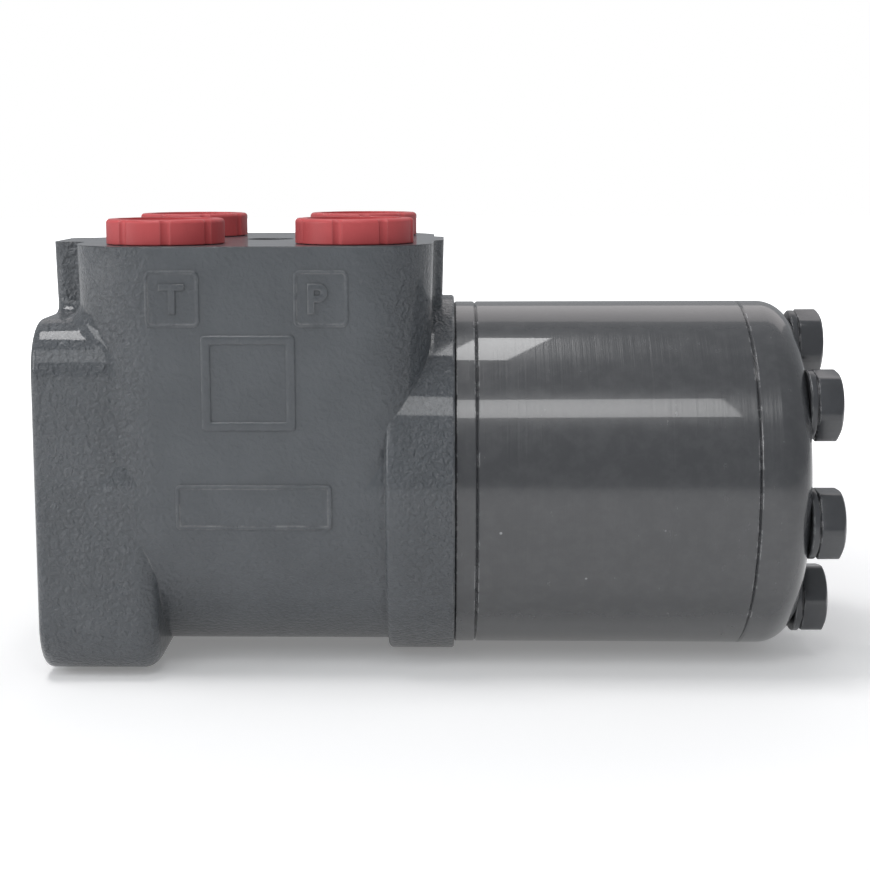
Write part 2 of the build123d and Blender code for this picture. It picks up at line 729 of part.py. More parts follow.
washer_seat_x = cover_end_x - cover_seat_depth
head_seat_x = washer_seat_x + washer_thickness
bolts = []
washers = []
for angle in bolt_angles:
    seat = Plane(origin=radial(cover_bolt_circle, angle, head_seat_x), x_dir=radial(1, angle + bolt_head_turn, 0),
                 z_dir=(1, 0, 0))
    with BuildPart() as bolt:
        with BuildSketch(seat):
            RegularPolygon(bolt_hex_flats / 2, 6, major_radius=False)
        extrude(amount=bolt_head_height)
        crown = Plane(origin=seat.origin, x_dir=(1, 0, 0), z_dir=radial(1, angle + 90, 0))
        with BuildSketch(crown):
            with BuildLine():
                Polyline(
                    (0, 0),
                    (0, bolt_hex_flats),
                    (bolt_head_height - bolt_crown_chamfer, bolt_hex_flats / 2 + bolt_crown_width),
                    (bolt_head_height, bolt_hex_flats / 2 - bolt_crown_inset),
                    (bolt_head_height, 0),
                    close=True,
                )
            make_face()
        revolve(axis=Axis(origin=seat.origin, direction=(1, 0, 0)), mode=Mode.INTERSECT)
        with BuildSketch(seat):
            Circle(cover_bolt_radius)
        extrude(amount=-(head_seat_x - housing_length + cover_bolt_grip))
        chamfer(bolt.faces().sort_by(Axis.X)[0].edges(), bolt_crown_chamfer)
    bolts.append(bolt.part.solid())
    with BuildPart() as washer:
        with BuildSketch(axis_plane.offset(washer_seat_x)):
            with Locations(radial(cover_bolt_circle, angle, 0)[1:]):
                Circle(washer_radius)
                Circle(cover_bolt_hole_radius, mode=Mode.SUBTRACT)
        extrude(amount=washer_thickness)
        chamfer(washer.edges().filter_by(GeomType.CIRCLE).filter_by(
            lambda e: e.radius > cover_bolt_hole_radius + end_gap), washer_edge)
    washers.append(washer.part.solid())
export(Compound(children=bolts), "cover_bolts")
export(Compound(children=washers), "bolt_washers")

# ---- check valve ------------------------------------------------------------------------------
ball_seat_z = check_bore_bottom + (check_ball_radius ** 2 - check_seat_radius ** 2) ** 0.5
with BuildPart() as check_ball:
    with Locations((check_x, check_y, ball_seat_z + static_clearance)):
        Sphere(check_ball_radius)
export(check_ball.part, "check_ball")

with BuildPart() as check_bush:
    with BuildSketch(Plane.XY.offset(block_top_z - bush_recess)):
        with Locations((check_x, check_y)):
            Circle(check_tap_radius - static_clearance)
    extrude(amount=-bush_height)
    with BuildSketch(Plane.XY.offset(block_top_z - bush_recess)):
        with Locations((check_x, check_y)):
            RegularPolygon(bush_hex_flats / 2, 6, major_radius=False)
    extrude(amount=-bush_hex_depth, mode=Mode.SUBTRACT)
export(check_bush.part, "check_bush")

stop_pin_top = block_top_z - bush_recess - bush_height - stop_pin_gap
stop_pin_bottom = ball_seat_z + check_ball_radius + ball_lift + stop_pin_gap
with BuildPart() as ball_stop_pin:
    with BuildSketch(Plane.XY.offset(stop_pin_top)):
        with Locations((check_x, check_y)):
            Circle(check_bore_radius - static_clearance)
    extrude(amount=-stop_pin_collar)
    with BuildSketch(Plane.XY.offset(stop_pin_top)):
        with Locations((check_x, check_y)):
            Circle(stop_pin_radius)
    extrude(amount=stop_pin_bottom - stop_pin_top)
export(ball_stop_pin.part, "ball_stop_pin")

# ---- plastic port caps ------------------------------------------------------------------------
cap_seat_z = block_top_z + cap_seat_gap
for (port_name, (place_x, place_y)), cap_turn in zip(port_places.items(), cap_turns):
    with BuildPart() as port_cap:
        with BuildSketch(Plane.XY.offset(cap_seat_z)):
            with Locations(Location((place_x, place_y, 0), (0, 0, cap_turn))):
                Circle(cap_radius)
                with PolarLocations(cap_flute_offset, cap_flute_count):
                    Circle(cap_flute_radius, mode=Mode.SUBTRACT)
        extrude(amount=cap_height)
        fillet(port_cap.faces().sort_by(Axis.Z)[-1].edges(), cap_edge_round)
        with BuildSketch(Plane.XY.offset(cap_seat_z + cap_height)):
            with Locations((place_x, place_y)):
                Circle(cap_rim_radius)
        extrude(amount=-cap_dish_depth, mode=Mode.SUBTRACT)
        with BuildSketch(Plane.XY.offset(cap_seat_z)):
            with Locations((place_x, place_y)):
                Circle(cap_plug_radius)
                Circle(cap_plug_radius - cap_plug_wall, mode=Mode.SUBTRACT)
        extrude(amount=-cap_plug_length)
    export(port_cap.part, f"port_cap_{port_name}")
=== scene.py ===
"""Orbital steering unit: finishes, fine pieces and studio around the machined and cast parts."""

import logging
import math
from dataclasses import dataclass, field
from enum import Enum
from typing import Any, Iterable, Sequence

import bmesh
import bpy
from mathutils import Matrix, Vector
from mathutils.bvhtree import BVHTree


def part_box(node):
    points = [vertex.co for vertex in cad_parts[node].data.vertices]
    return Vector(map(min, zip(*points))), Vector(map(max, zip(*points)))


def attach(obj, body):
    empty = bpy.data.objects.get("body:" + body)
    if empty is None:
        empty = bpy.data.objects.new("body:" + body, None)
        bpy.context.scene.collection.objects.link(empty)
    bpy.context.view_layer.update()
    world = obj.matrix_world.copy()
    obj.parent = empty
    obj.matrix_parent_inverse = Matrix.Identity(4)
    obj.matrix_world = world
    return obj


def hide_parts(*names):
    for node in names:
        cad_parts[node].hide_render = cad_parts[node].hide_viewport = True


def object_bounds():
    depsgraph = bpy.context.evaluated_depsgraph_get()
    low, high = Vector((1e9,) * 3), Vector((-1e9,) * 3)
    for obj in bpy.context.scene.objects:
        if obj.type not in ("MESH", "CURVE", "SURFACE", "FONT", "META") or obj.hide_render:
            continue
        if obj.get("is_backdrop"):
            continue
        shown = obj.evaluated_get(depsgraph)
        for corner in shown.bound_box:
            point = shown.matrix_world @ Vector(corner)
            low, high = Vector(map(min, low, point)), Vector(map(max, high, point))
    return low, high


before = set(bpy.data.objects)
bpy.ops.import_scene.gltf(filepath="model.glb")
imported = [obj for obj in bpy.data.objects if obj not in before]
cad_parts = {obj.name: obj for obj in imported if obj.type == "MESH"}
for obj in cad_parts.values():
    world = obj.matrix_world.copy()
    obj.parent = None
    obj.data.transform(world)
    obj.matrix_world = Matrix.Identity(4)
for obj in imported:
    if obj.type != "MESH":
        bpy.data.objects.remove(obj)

log = logging.getLogger("steering_unit")

MM = 0.001
FULL_TURN = 2 * math.pi
Colour = tuple[float, float, float]
BAKED_SHARP_ANGLE = math.radians(38)
FRAME_SHARP_DEGREES = 60.0
LETTER_SHARP_DEGREES = 50.0
MERGE_DISTANCE = 1e-7


class Slot(Enum):
    """Material slots of the record."""

    CASTING = "painted_casting"
    MACHINED = "painted_machined"
    FASTENER = "painted_fastener"
    RUBBER = "seal_rubber"
    HARDENED = "hardened_steel"
    GROUND = "ground_steel"
    SPRING = "spring_steel"
    PLATED = "plated_steel"
    CAP = "cap_plastic"


class Side(Enum):
    """Which long face of the block a raised mark stands on."""

    FRONT = -1
    REAR = 1


# ---- shader bench -----------------------------------------------------------------------------


class Wire:
    """A value socket that shader maths is written on with Python operators."""

    def __init__(self, bench: "ShaderBench", socket: bpy.types.NodeSocket) -> None:
        """Keep the bench that draws the nodes and the socket that the value comes from."""
        self.bench = bench
        self.socket = socket

    def _maths(self, operation: str, first: Any, second: Any) -> "Wire":
        """Add one Math node.

        Args:
            operation: The Math node's operation.
            first: Left operand, a wire or a number.
            second: Right operand, a wire or a number.

        Returns:
            The wire of the result.
        """
        node = self.bench.node("ShaderNodeMath", {"operation": operation}, {0: first, 1: second})
        return Wire(self.bench, node.outputs[0])

    def __add__(self, other: Any) -> "Wire":
        """Sum of two values."""
        return self._maths("ADD", self, other)

    def __radd__(self, other: Any) -> "Wire":
        """Sum with a number on the left."""
        return self._maths("ADD", other, self)

    def __sub__(self, other: Any) -> "Wire":
        """Difference of two values."""
        return self._maths("SUBTRACT", self, other)

    def __rsub__(self, other: Any) -> "Wire":
        """Difference from a number on the left."""
        return self._maths("SUBTRACT", other, self)

    def __mul__(self, other: Any) -> "Wire":
        """Product of two values."""
        return self._maths("MULTIPLY", self, other)

    def __rmul__(self, other: Any) -> "Wire":
        """Product with a number on the left."""
        return self._maths("MULTIPLY", other, self)

    def __pow__(self, other: Any) -> "Wire":
        """Power of a value."""
        return self._maths("POWER", self, other)

    def larger(self, other: Any) -> "Wire":
        """The larger of two values."""
        return self._maths("MAXIMUM", self, other)

    def fade(self, start: float, end: float) -> "Wire":
        """Smooth step of the value.

        Args:
            start: Value where the result is 0.
            end: Value where the result is 1; it may lie below start.

        Returns:
            A wire between 0 and 1.
        """
        node = self.bench.node(
            "ShaderNodeMapRange",
            {"interpolation_type": "SMOOTHSTEP"},
            {"Value": self, "From Min": start, "From Max": end, "To Min": 0.0, "To Max": 1.0},
        )
        return Wire(self.bench, node.outputs["Result"])


class ShaderBench:
    """Builds one procedural material; every node goes through one method."""

    def __init__(self, name: str) -> None:
        """Start an empty material of this name."""
        self.material = bpy.data.materials.new(name)
        self.material.use_nodes = True
        self.tree = self.material.node_tree
        self.tree.nodes.clear()
        place = self.node("ShaderNodeTexCoord")
        self.place = Wire(self, place.outputs["Object"])
        self.plain = self.stretched((1, 1, 1))

    def node(
        self, kind: str, settings: dict[str, Any] | None = None, sockets: dict[Any, Any] | None = None
    ) -> bpy.types.Node:
        """Add one node.

        Args:
            kind: Blender's node type.
            settings: Node properties, set first.
            sockets: Input values or wires by socket name or index.

        Returns:
            The new node.
        """
        node = self.tree.nodes.new(kind)
        for key, value in (settings or {}).items():
            setattr(node, key, value)
        for key, value in (sockets or {}).items():
            if isinstance(value, Wire):
                self.tree.links.new(value.socket, node.inputs[key])
            else:
                node.inputs[key].default_value = value
        return node

    def stretched(self, factors: Sequence[float], turn: Sequence[float] = (0.0, 0.0, 0.0)) -> Wire:
        """Object coordinates stretched along each axis.

        Args:
            factors: Scale along X, Y and Z, in repeats per metre.
            turn: Euler turn in radians.

        Returns:
            The wire of the coordinates.
        """
        node = self.node(
            "ShaderNodeMapping", {}, {"Vector": self.place, "Scale": tuple(factors), "Rotation": tuple(turn)}
        )
        return Wire(self, node.outputs["Vector"])

    def noise(
        self, vector: Wire, scale: float, detail: float = 3.0, rough: float = 0.5, warp: float = 0.0
    ) -> Wire:
        """Noise value on some coordinates, centred on 0.5."""
        node = self.node(
            "ShaderNodeTexNoise",
            {"noise_dimensions": "3D"},
            {"Vector": vector, "Scale": scale, "Detail": detail, "Roughness": rough, "Distortion": warp},
        )
        return Wire(self, node.outputs["Fac"])

    def cells(self, vector: Wire, scale: float, feature: str = "F1", jitter: float = 1.0) -> bpy.types.Node:
        """Voronoi cells on some coordinates."""
        return self.node(
            "ShaderNodeTexVoronoi",
            {"feature": feature},
            {"Vector": vector, "Scale": scale, "Randomness": jitter},
        )

    def axes(self) -> tuple[Wire, Wire, Wire]:
        """The object coordinates X, Y and Z as separate wires."""
        node = self.node("ShaderNodeSeparateXYZ", {}, {0: self.place})
        return tuple(Wire(self, node.outputs[index]) for index in range(3))

    def blend(self, share: Wire | float, first: Any, second: Any, mode: str = "MIX") -> Wire:
        """Mix two colours.

        Args:
            share: Amount of the second colour.
            first: Colour or wire.
            second: Colour or wire.
            mode: The Mix node's blend type.

        Returns:
            The wire of the mixed colour.
        """
        def shade(value: Any) -> Any:
            return value if isinstance(value, Wire) else (*value, 1.0)

        node = self.node(
            "ShaderNodeMix",
            {"data_type": "RGBA", "blend_type": mode, "clamp_factor": True},
            {0: share, 6: shade(first), 7: shade(second)},
        )
        return Wire(self, node.outputs[2])

    def rounded(self, radius: float) -> tuple[Wire, Wire]:
        """Softened edges.

        Args:
            radius: Rounding radius in metres.

        Returns:
            The softened normal, and a mask that is 1 on convex and concave edges.
        """
        soft = Wire(self, self.node("ShaderNodeBevel", {"samples": 4}, {"Radius": radius}).outputs[0])
        true = Wire(self, self.node("ShaderNodeNewGeometry").outputs["Normal"])
        dot = self.node("ShaderNodeVectorMath", {"operation": "DOT_PRODUCT"}, {0: soft, 1: true})
        return soft, (1.0 - Wire(self, dot.outputs["Value"])).fade(0.01, 0.12)

    def bump(self, height: Wire, distance: float, strength: float = 1.0, normal: Wire | None = None) -> Wire:
        """Surface relief.

        Args:
            height: Height between 0 and 1.
            distance: Real height in metres that 1 stands for.
            strength: Share of the relief that shows.
            normal: Normal that the relief stands on.

        Returns:
            The wire of the new normal.
        """
        sockets: dict[Any, Any] = {"Height": height, "Distance": distance, "Strength": strength}
        if normal is not None:
            sockets["Normal"] = normal
        return Wire(self, self.node("ShaderNodeBump", {}, sockets).outputs["Normal"])

    def surface(self, **sockets: Any) -> bpy.types.Material:
        """Close the material with one Principled surface.

        Args:
            sockets: Socket values, with underscores for spaces.

        Returns:
            The finished material.
        """
        named = {key.replace("_", " "): value for key, value in sockets.items()}
        colour = named["Base Color"]
        named["Base Color"] = colour if isinstance(colour, Wire) else (*colour, 1.0)
        shader = self.node("ShaderNodeBsdfPrincipled", {}, named)
        self.node("ShaderNodeOutputMaterial", {}, {"Surface": Wire(self, shader.outputs["BSDF"])})
        return self.material


# ---- finishes ---------------------------------------------------------------------------------


@dataclass(frozen=True)
class CastPaint:
    """Glossy paint over a sand-cast skin, rougher on the flange and on the collar."""

    name: str = "cast_paint"
    paint: Colour = (0.078, 0.087, 0.097)
    hollow: Colour = (0.050, 0.057, 0.065)
    # colour of the painted highlight on the crests of the cast lumps
    painted_crest_highlight: Colour = (0.165, 0.172, 0.182)
    edge: Colour = (0.300, 0.305, 0.310)
    grain: float = 760.0
    peel: float = 1700.0
    cell_share: float = 1.35
    broad: float = 70.0
    patch: float = 160.0
    soft_edge: float = 0.7 * MM
    grain_height: float = 0.00058
    calm_share: float = 0.24
    flange_end: float = 0.029
    collar_start: float = 0.0845
    machined_top: float = 0.0601
    machined_front: float = 0.0001
    wave: float = 0.009
    low_start: float = 0.022
    low_end: float = -0.012
    low_share: float = 0.50

    def material(self) -> bpy.types.Material:
        """Build the painted cast skin."""
        bench = ShaderBench(self.name)
        along, _, up = bench.axes()
        ends = along.fade(self.flange_end + self.wave, self.flange_end - self.wave) + along.fade(
            self.collar_start - self.wave, self.collar_start + self.wave
        )
        low = up.fade(self.low_start, self.low_end) * self.low_share
        cast = (along.fade(self.machined_front, 5 * self.machined_front)
                * up.fade(self.machined_top, self.machined_top - self.machined_front))
        rough_zone = (ends.larger(low)).larger(self.calm_share) * cast
        lumps = bench.noise(bench.plain, self.grain, 3.0, 0.55, 0.4)
        round_cells = bench.cells(bench.plain, self.grain * self.cell_share, "SMOOTH_F1")
        beads = Wire(bench, round_cells.outputs["Distance"])
        peel = bench.noise(bench.plain, self.peel, 2.0, 0.5)
        broad = bench.noise(bench.plain, self.broad, 3.0, 0.5)
        patches = bench.noise(bench.plain, self.patch, 4.0, 0.6)
        skin = lumps.fade(0.30, 0.75) * 0.8 + (1.0 - beads) * 0.6 + peel * 0.2
        height = skin * rough_zone + broad * 0.35
        soft, worn = bench.rounded(self.soft_edge)
        wear = worn * patches.fade(0.42, 0.60) * 0.55
        tone = bench.blend(broad.fade(0.35, 0.68), self.hollow, self.paint)
        tone = bench.blend(0.55, tone, self.paint)
        # painted highlight: a lighter tone on the crests of the cast lumps over all the cast skin, stronger
        # on the flange, the collar and towards the bottom
        tone = bench.blend(lumps.fade(0.60, 0.80) * rough_zone * 0.32, tone, self.painted_crest_highlight)
        tone = bench.blend(wear, tone, self.edge)
        gloss = 0.24 + patches * 0.10 + (1.0 - rough_zone) * 0.12
        return bench.surface(
            Base_Color=tone,
            Roughness=gloss,
            Specular_IOR_Level=0.5,
            Coat_Weight=0.60,
            Coat_Roughness=0.06,
            Normal=bench.bump(height, self.grain_height, 1.0, soft),
        )


@dataclass(frozen=True)
class TurnedPaint:
    """Thin satin paint over lathe-turned steel; the tool lines run around the axis."""

    name: str = "turned_paint"
    paint: Colour = (0.047, 0.049, 0.053)
    lighter: Colour = (0.066, 0.068, 0.072)
    chip: Colour = (0.50, 0.50, 0.51)
    line_pitch: float = 1150.0
    line_around: float = 14.0
    band_scale: tuple[float, float, float] = (150.0, 9.0, 9.0)
    mist: float = 240.0
    fine: float = 2600.0
    speck: float = 190.0
    speck_patch: float = 95.0
    soft_edge: float = 0.45 * MM
    line_height: float = 0.00006
    gloss: float = 0.17

    def material(self) -> bpy.types.Material:
        """Build the painted turned surface."""
        bench = ShaderBench(self.name)
        line_scale = (self.line_pitch, self.line_around, self.line_around)
        lines = bench.noise(bench.stretched(line_scale), 1.0, 3.0, 0.6)
        bands = bench.noise(bench.stretched(self.band_scale), 1.0, 2.0, 0.5)
        mist = bench.noise(bench.plain, self.mist, 4.0, 0.6)
        fine = bench.noise(bench.plain, self.fine, 2.0, 0.5)
        dust = Wire(bench, bench.cells(bench.plain, self.speck).outputs["Distance"]).fade(0.085, 0.045)
        dust = dust * bench.noise(bench.plain, self.speck_patch, 2.0, 0.5).fade(0.60, 0.66)
        soft, worn = bench.rounded(self.soft_edge)
        wear = worn * mist.fade(0.50, 0.60) * 0.8
        tone = bench.blend(mist.fade(0.35, 0.70) * 0.6 + bands * 0.25, self.paint, self.lighter)
        tone = bench.blend(wear.larger(dust * 0.6), tone, self.chip)
        height = lines * 0.8 + fine * 0.16 + bands * 0.5
        return bench.surface(
            Base_Color=tone,
            Roughness=self.gloss + mist * 0.10 + lines * 0.06,
            Specular_IOR_Level=0.6,
            Coat_Weight=0.75,
            Coat_Roughness=0.03,
            Normal=bench.bump(height, self.line_height, 1.0, soft),
        )


@dataclass(frozen=True)
class FastenerPaint:
    """Dark gloss paint on bolt heads and washers, rubbed off along the edges."""

    name: str = "fastener_paint"
    paint: Colour = (0.040, 0.042, 0.046)
    rubbed: Colour = (0.42, 0.42, 0.43)
    gloss: float = 0.24
    mist: float = 420.0
    dent: float = 900.0
    dent_depth: float = 0.00006
    soft_edge: float = 0.35 * MM
    lighter: float = 1.7

    def material(self) -> bpy.types.Material:
        """Build the painted fastener surface."""
        bench = ShaderBench(self.name)
        mist = bench.noise(bench.plain, self.mist, 4.0, 0.6)
        dents = bench.noise(bench.plain, self.dent, 2.0, 0.5)
        soft, worn = bench.rounded(self.soft_edge)
        tone = bench.blend(mist * 0.6, self.paint, tuple(self.lighter * part for part in self.paint))
        tone = bench.blend(worn * mist.fade(0.46, 0.56), tone, self.rubbed)
        return bench.surface(
            Base_Color=tone,
            Roughness=self.gloss + mist * 0.14,
            Specular_IOR_Level=0.6,
            Coat_Weight=0.3,
            Coat_Roughness=0.15,
            Normal=bench.bump(dents, self.dent_depth, 0.7, soft),
        )


@dataclass(frozen=True)
class CapPlastic:
    """Moulded red polyethylene with a fine matt grain and rub marks."""

    name: str = "cap_red"
    pigment: Colour = (0.580, 0.086, 0.090)
    deep: Colour = (0.490, 0.066, 0.070)
    rubbed: Colour = (0.620, 0.200, 0.190)
    gloss: float = 0.40
    cloud: float = 130.0
    grain: float = 3200.0
    draw_scale: tuple[float, float, float] = (1900.0, 1900.0, 160.0)
    draw_depth: float = 0.00010
    soft_edge: float = 0.5 * MM

    def material(self) -> bpy.types.Material:
        """Build the moulded plastic."""
        bench = ShaderBench(self.name)
        cloud = bench.noise(bench.plain, self.cloud, 3.0, 0.5)
        grain = bench.noise(bench.plain, self.grain, 2.0, 0.6)
        draw = bench.noise(bench.stretched(self.draw_scale), 1.0, 2.0, 0.5)
        soft, worn = bench.rounded(self.soft_edge)
        tone = bench.blend(cloud.fade(0.35, 0.70), self.deep, self.pigment)
        tone = bench.blend(0.6, tone, self.pigment)
        tone = bench.blend(worn * 0.5 * cloud.fade(0.35, 0.6), tone, self.rubbed)
        return bench.surface(
            Base_Color=tone,
            Roughness=self.gloss + grain * 0.12,
            Specular_IOR_Level=0.45,
            Subsurface_Weight=0.0,
            Normal=bench.bump(draw * 0.6 + grain * 0.3, self.draw_depth, 0.7, soft),
        )


@dataclass(frozen=True)
class BareSteel:
    """Uncoated steel with grinding or turning lines and a trace of oil stain."""

    name: str
    metal: Colour
    stain: Colour
    gloss: float
    line_scale: tuple[float, float, float]
    line_height: float = 0.00002
    cloud: float = 190.0
    soft_edge: float = 0.3 * MM
    lighter: float = 1.4

    def material(self) -> bpy.types.Material:
        """Build the bare metal."""
        bench = ShaderBench(self.name)
        lines = bench.noise(bench.stretched(self.line_scale), 1.0, 3.0, 0.6)
        cloud = bench.noise(bench.plain, self.cloud, 4.0, 0.6)
        soft, worn = bench.rounded(self.soft_edge)
        tone = bench.blend(cloud.fade(0.45, 0.75) * 0.7, self.metal, self.stain)
        tone = bench.blend(worn * 0.4, tone, tuple(min(1.0, self.lighter * part) for part in self.metal))
        return bench.surface(
            Base_Color=tone,
            Metallic=1.0,
            Roughness=self.gloss + lines * 0.10 + cloud * 0.06,
            Normal=bench.bump(lines, self.line_height, 0.7, soft),
        )


@dataclass(frozen=True)
class SealRubber:
    """Black nitrile rubber with a fine matt skin and light dust."""

    name: str = "nitrile_black"
    rubber: Colour = (0.014, 0.014, 0.015)
    dust: Colour = (0.060, 0.058, 0.056)
    cloud: float = 260.0
    grain: float = 3000.0
    grain_depth: float = 0.00004

    def material(self) -> bpy.types.Material:
        """Build the rubber."""
        bench = ShaderBench(self.name)
        cloud = bench.noise(bench.plain, self.cloud, 4.0, 0.6)
        grain = bench.noise(bench.plain, self.grain, 2.0, 0.5)
        return bench.surface(
            Base_Color=bench.blend(cloud.fade(0.5, 0.8) * 0.6, self.rubber, self.dust),
            Roughness=0.50 + cloud * 0.2,
            Specular_IOR_Level=0.4,
            Normal=bench.bump(grain, self.grain_depth, 0.6),
        )


class FinishStore:
    """One built material per slot of the record."""

    def __init__(self) -> None:
        """Build every finish once."""
        around_x = (1400.0, 22.0, 22.0)
        self.by_slot: dict[Slot, bpy.types.Material] = {
            Slot.CASTING: CastPaint().material(),
            Slot.MACHINED: TurnedPaint().material(),
            Slot.FASTENER: FastenerPaint().material(),
            Slot.CAP: CapPlastic().material(),
            Slot.RUBBER: SealRubber().material(),
            Slot.GROUND: BareSteel(
                "ground_steel", (0.56, 0.56, 0.57), (0.36, 0.35, 0.34), 0.20, around_x
            ).material(),
            Slot.HARDENED: BareSteel(
                "hardened_steel", (0.40, 0.40, 0.42), (0.22, 0.21, 0.21), 0.30, around_x
            ).material(),
            Slot.SPRING: BareSteel(
                "spring_steel", (0.34, 0.35, 0.38), (0.16, 0.17, 0.22), 0.30, (40.0, 40.0, 900.0)
            ).material(),
            Slot.PLATED: BareSteel(
                "zinc_plated", (0.62, 0.61, 0.58), (0.50, 0.46, 0.36), 0.26, (300.0, 300.0, 300.0)
            ).material(),
        }

    def dress(self, slot: Slot, *nodes: str) -> None:
        """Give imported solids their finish.

        Args:
            slot: Finish to use.
            nodes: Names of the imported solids.
        """
        for name in nodes:
            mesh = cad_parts[name].data
            mesh.materials.clear()
            mesh.materials.append(self.by_slot[slot])


# ---- mesh bench -------------------------------------------------------------------------------


class GeometryTree:
    """A Geometry Nodes tree with named inputs that bakes to a plain mesh."""

    def __init__(self, name: str) -> None:
        """Start a tree with a geometry output and a finish input."""
        self.tree = bpy.data.node_groups.new(name, "GeometryNodeTree")
        self.tree.interface.new_socket("Geometry", in_out="OUTPUT", socket_type="NodeSocketGeometry")
        self.entry = self.tree.nodes.new("NodeGroupInput")
        self.exit = self.tree.nodes.new("NodeGroupOutput")
        self.identifiers: dict[str, str] = {}
        self.finish = self.input("Finish", "NodeSocketMaterial")

    def input(self, name: str, kind: str = "NodeSocketFloat") -> bpy.types.NodeSocket:
        """Add a named input and return its socket inside the tree."""
        made = self.tree.interface.new_socket(name, in_out="INPUT", socket_type=kind)
        self.identifiers[name] = made.identifier
        return next(socket for socket in self.entry.outputs if socket.identifier == made.identifier)

    def node(
        self, kind: str, settings: dict[str, Any] | None = None, sockets: dict[Any, Any] | None = None
    ) -> bpy.types.Node:
        """Add one node.

        Args:
            kind: Blender's node type.
            settings: Node properties, set first.
            sockets: Input values or sockets to link, by socket name or index.

        Returns:
            The new node.
        """
        node = self.tree.nodes.new(kind)
        for key, value in (settings or {}).items():
            setattr(node, key, value)
        for key, value in (sockets or {}).items():
            if isinstance(value, bpy.types.NodeSocket):
                self.tree.links.new(value, node.inputs[key])
            else:
                node.inputs[key].default_value = value
        return node

    def maths(self, operation: str, first: Any, second: Any) -> bpy.types.NodeSocket:
        """One Math node's result."""
        return self.node("ShaderNodeMath", {"operation": operation}, {0: first, 1: second}).outputs[0]

    def ring_of(
        self,
        shape: bpy.types.NodeSocket,
        count: bpy.types.NodeSocket,
        radius: bpy.types.NodeSocket,
        station: bpy.types.NodeSocket,
        start: bpy.types.NodeSocket,
    ) -> bpy.types.NodeSocket:
        """Instances of a shape around the X axis.

        Args:
            shape: Geometry drawn along +X at the origin.
            count: Number of copies.
            radius: Distance from the axis.
            station: Place along the axis.
            start: Angle of the first copy from +Y, in radians.

        Returns:
            The geometry socket of the copies.
        """
        index = self.node("GeometryNodeInputIndex").outputs[0]
        share = self.maths("DIVIDE", index, count)
        angle = self.maths("ADD", self.maths("MULTIPLY", share, FULL_TURN), start)
        place = self.node(
            "ShaderNodeCombineXYZ",
            {},
            {
                0: station,
                1: self.maths("MULTIPLY", radius, self.maths("COSINE", angle, 0.0)),
                2: self.maths("MULTIPLY", radius, self.maths("SINE", angle, 0.0)),
            },
        )
        turn = self.node("ShaderNodeCombineXYZ", {}, {0: angle})
        points = self.node("GeometryNodePoints", {}, {"Count": count, "Position": place.outputs[0]})
        copies = self.node(
            "GeometryNodeInstanceOnPoints",
            {},
            {"Points": points.outputs[0], "Instance": shape, "Rotation": turn.outputs[0]},
        )
        return copies.outputs[0]

    def close(self, geometry: bpy.types.NodeSocket) -> None:
        """End the tree: real geometry with the finish on it."""
        real = self.node("GeometryNodeRealizeInstances", {}, {"Geometry": geometry})
        painted = self.node(
            "GeometryNodeSetMaterial", {}, {"Geometry": real.outputs[0], "Material": self.finish}
        )
        self.tree.links.new(painted.outputs[0], self.exit.inputs[0])

    def bake(self, name: str, finish: bpy.types.Material, values: dict[str, Any]) -> bpy.types.Object:
        """Run the tree once and keep its result.

        Args:
            name: Name of the new object.
            finish: Material of the result.
            values: Input values by name.

        Returns:
            An object with a plain mesh and no modifier.
        """
        carrier = add_object(name + "_carrier", bpy.data.meshes.new(name + "_carrier"))
        modifier = carrier.modifiers.new("shape", "NODES")
        modifier.node_group = self.tree
        for key, value in {"Finish": finish, **values}.items():
            modifier[self.identifiers[key]] = value
        evaluated = carrier.evaluated_get(bpy.context.evaluated_depsgraph_get())
        mesh = bpy.data.meshes.new_from_object(evaluated)
        carrier.modifiers.clear()
        bpy.data.objects.remove(carrier)
        mesh.name = name
        mesh.materials.clear()
        mesh.materials.append(finish)
        mesh.set_sharp_from_angle(angle=BAKED_SHARP_ANGLE)
        return add_object(name, mesh)


def add_object(name: str, data: bpy.types.ID) -> bpy.types.Object:
    """Put a new object with this data into the scene, at the origin."""
    made = bpy.data.objects.new(name, data)
    bpy.context.scene.collection.objects.link(made)
    return made


def join_loops(shape: bmesh.types.BMesh, loops: Sequence[Sequence[bmesh.types.BMVert]]) -> None:
    """Bridge each closed loop of points to the next one with four-sided faces."""
    for low, high in zip(loops, loops[1:]):
        for step, vert in enumerate(low):
            after = (step + 1) % len(low)
            shape.faces.new((vert, low[after], high[after], high[step]))


def mesh_object(name: str, shape: bmesh.types.BMesh, sharp: float = 40.0) -> bpy.types.Object:
    """Turn a bmesh into an object at the origin, with outward normals.

    Args:
        name: Name of the object.
        shape: The mesh, which is freed.
        sharp: Angle in degrees above which an edge stays sharp.

    Returns:
        The new object.
    """
    bmesh.ops.remove_doubles(shape, verts=shape.verts, dist=MERGE_DISTANCE)
    bmesh.ops.recalc_face_normals(shape, faces=shape.faces)
    mesh = bpy.data.meshes.new(name)
    shape.to_mesh(mesh)
    shape.free()
    mesh.shade_smooth()
    mesh.set_sharp_from_angle(angle=math.radians(sharp))
    return add_object(name, mesh)


def settle(
    piece: bpy.types.Object, finish: bpy.types.Material, slot: Slot, body: str, *stands_for: str
) -> None:
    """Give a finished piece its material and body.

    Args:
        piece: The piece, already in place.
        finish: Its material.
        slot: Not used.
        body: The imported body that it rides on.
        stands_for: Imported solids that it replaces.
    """
    if not piece.data.materials:
        piece.data.materials.append(finish)
    if stands_for:
        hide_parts(*stands_for)
    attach(piece, body)
    log.info("%s: %d faces on %s", piece.name, len(piece.data.polygons), body)


# ---- cast housing -----------------------------------------------------------------------------


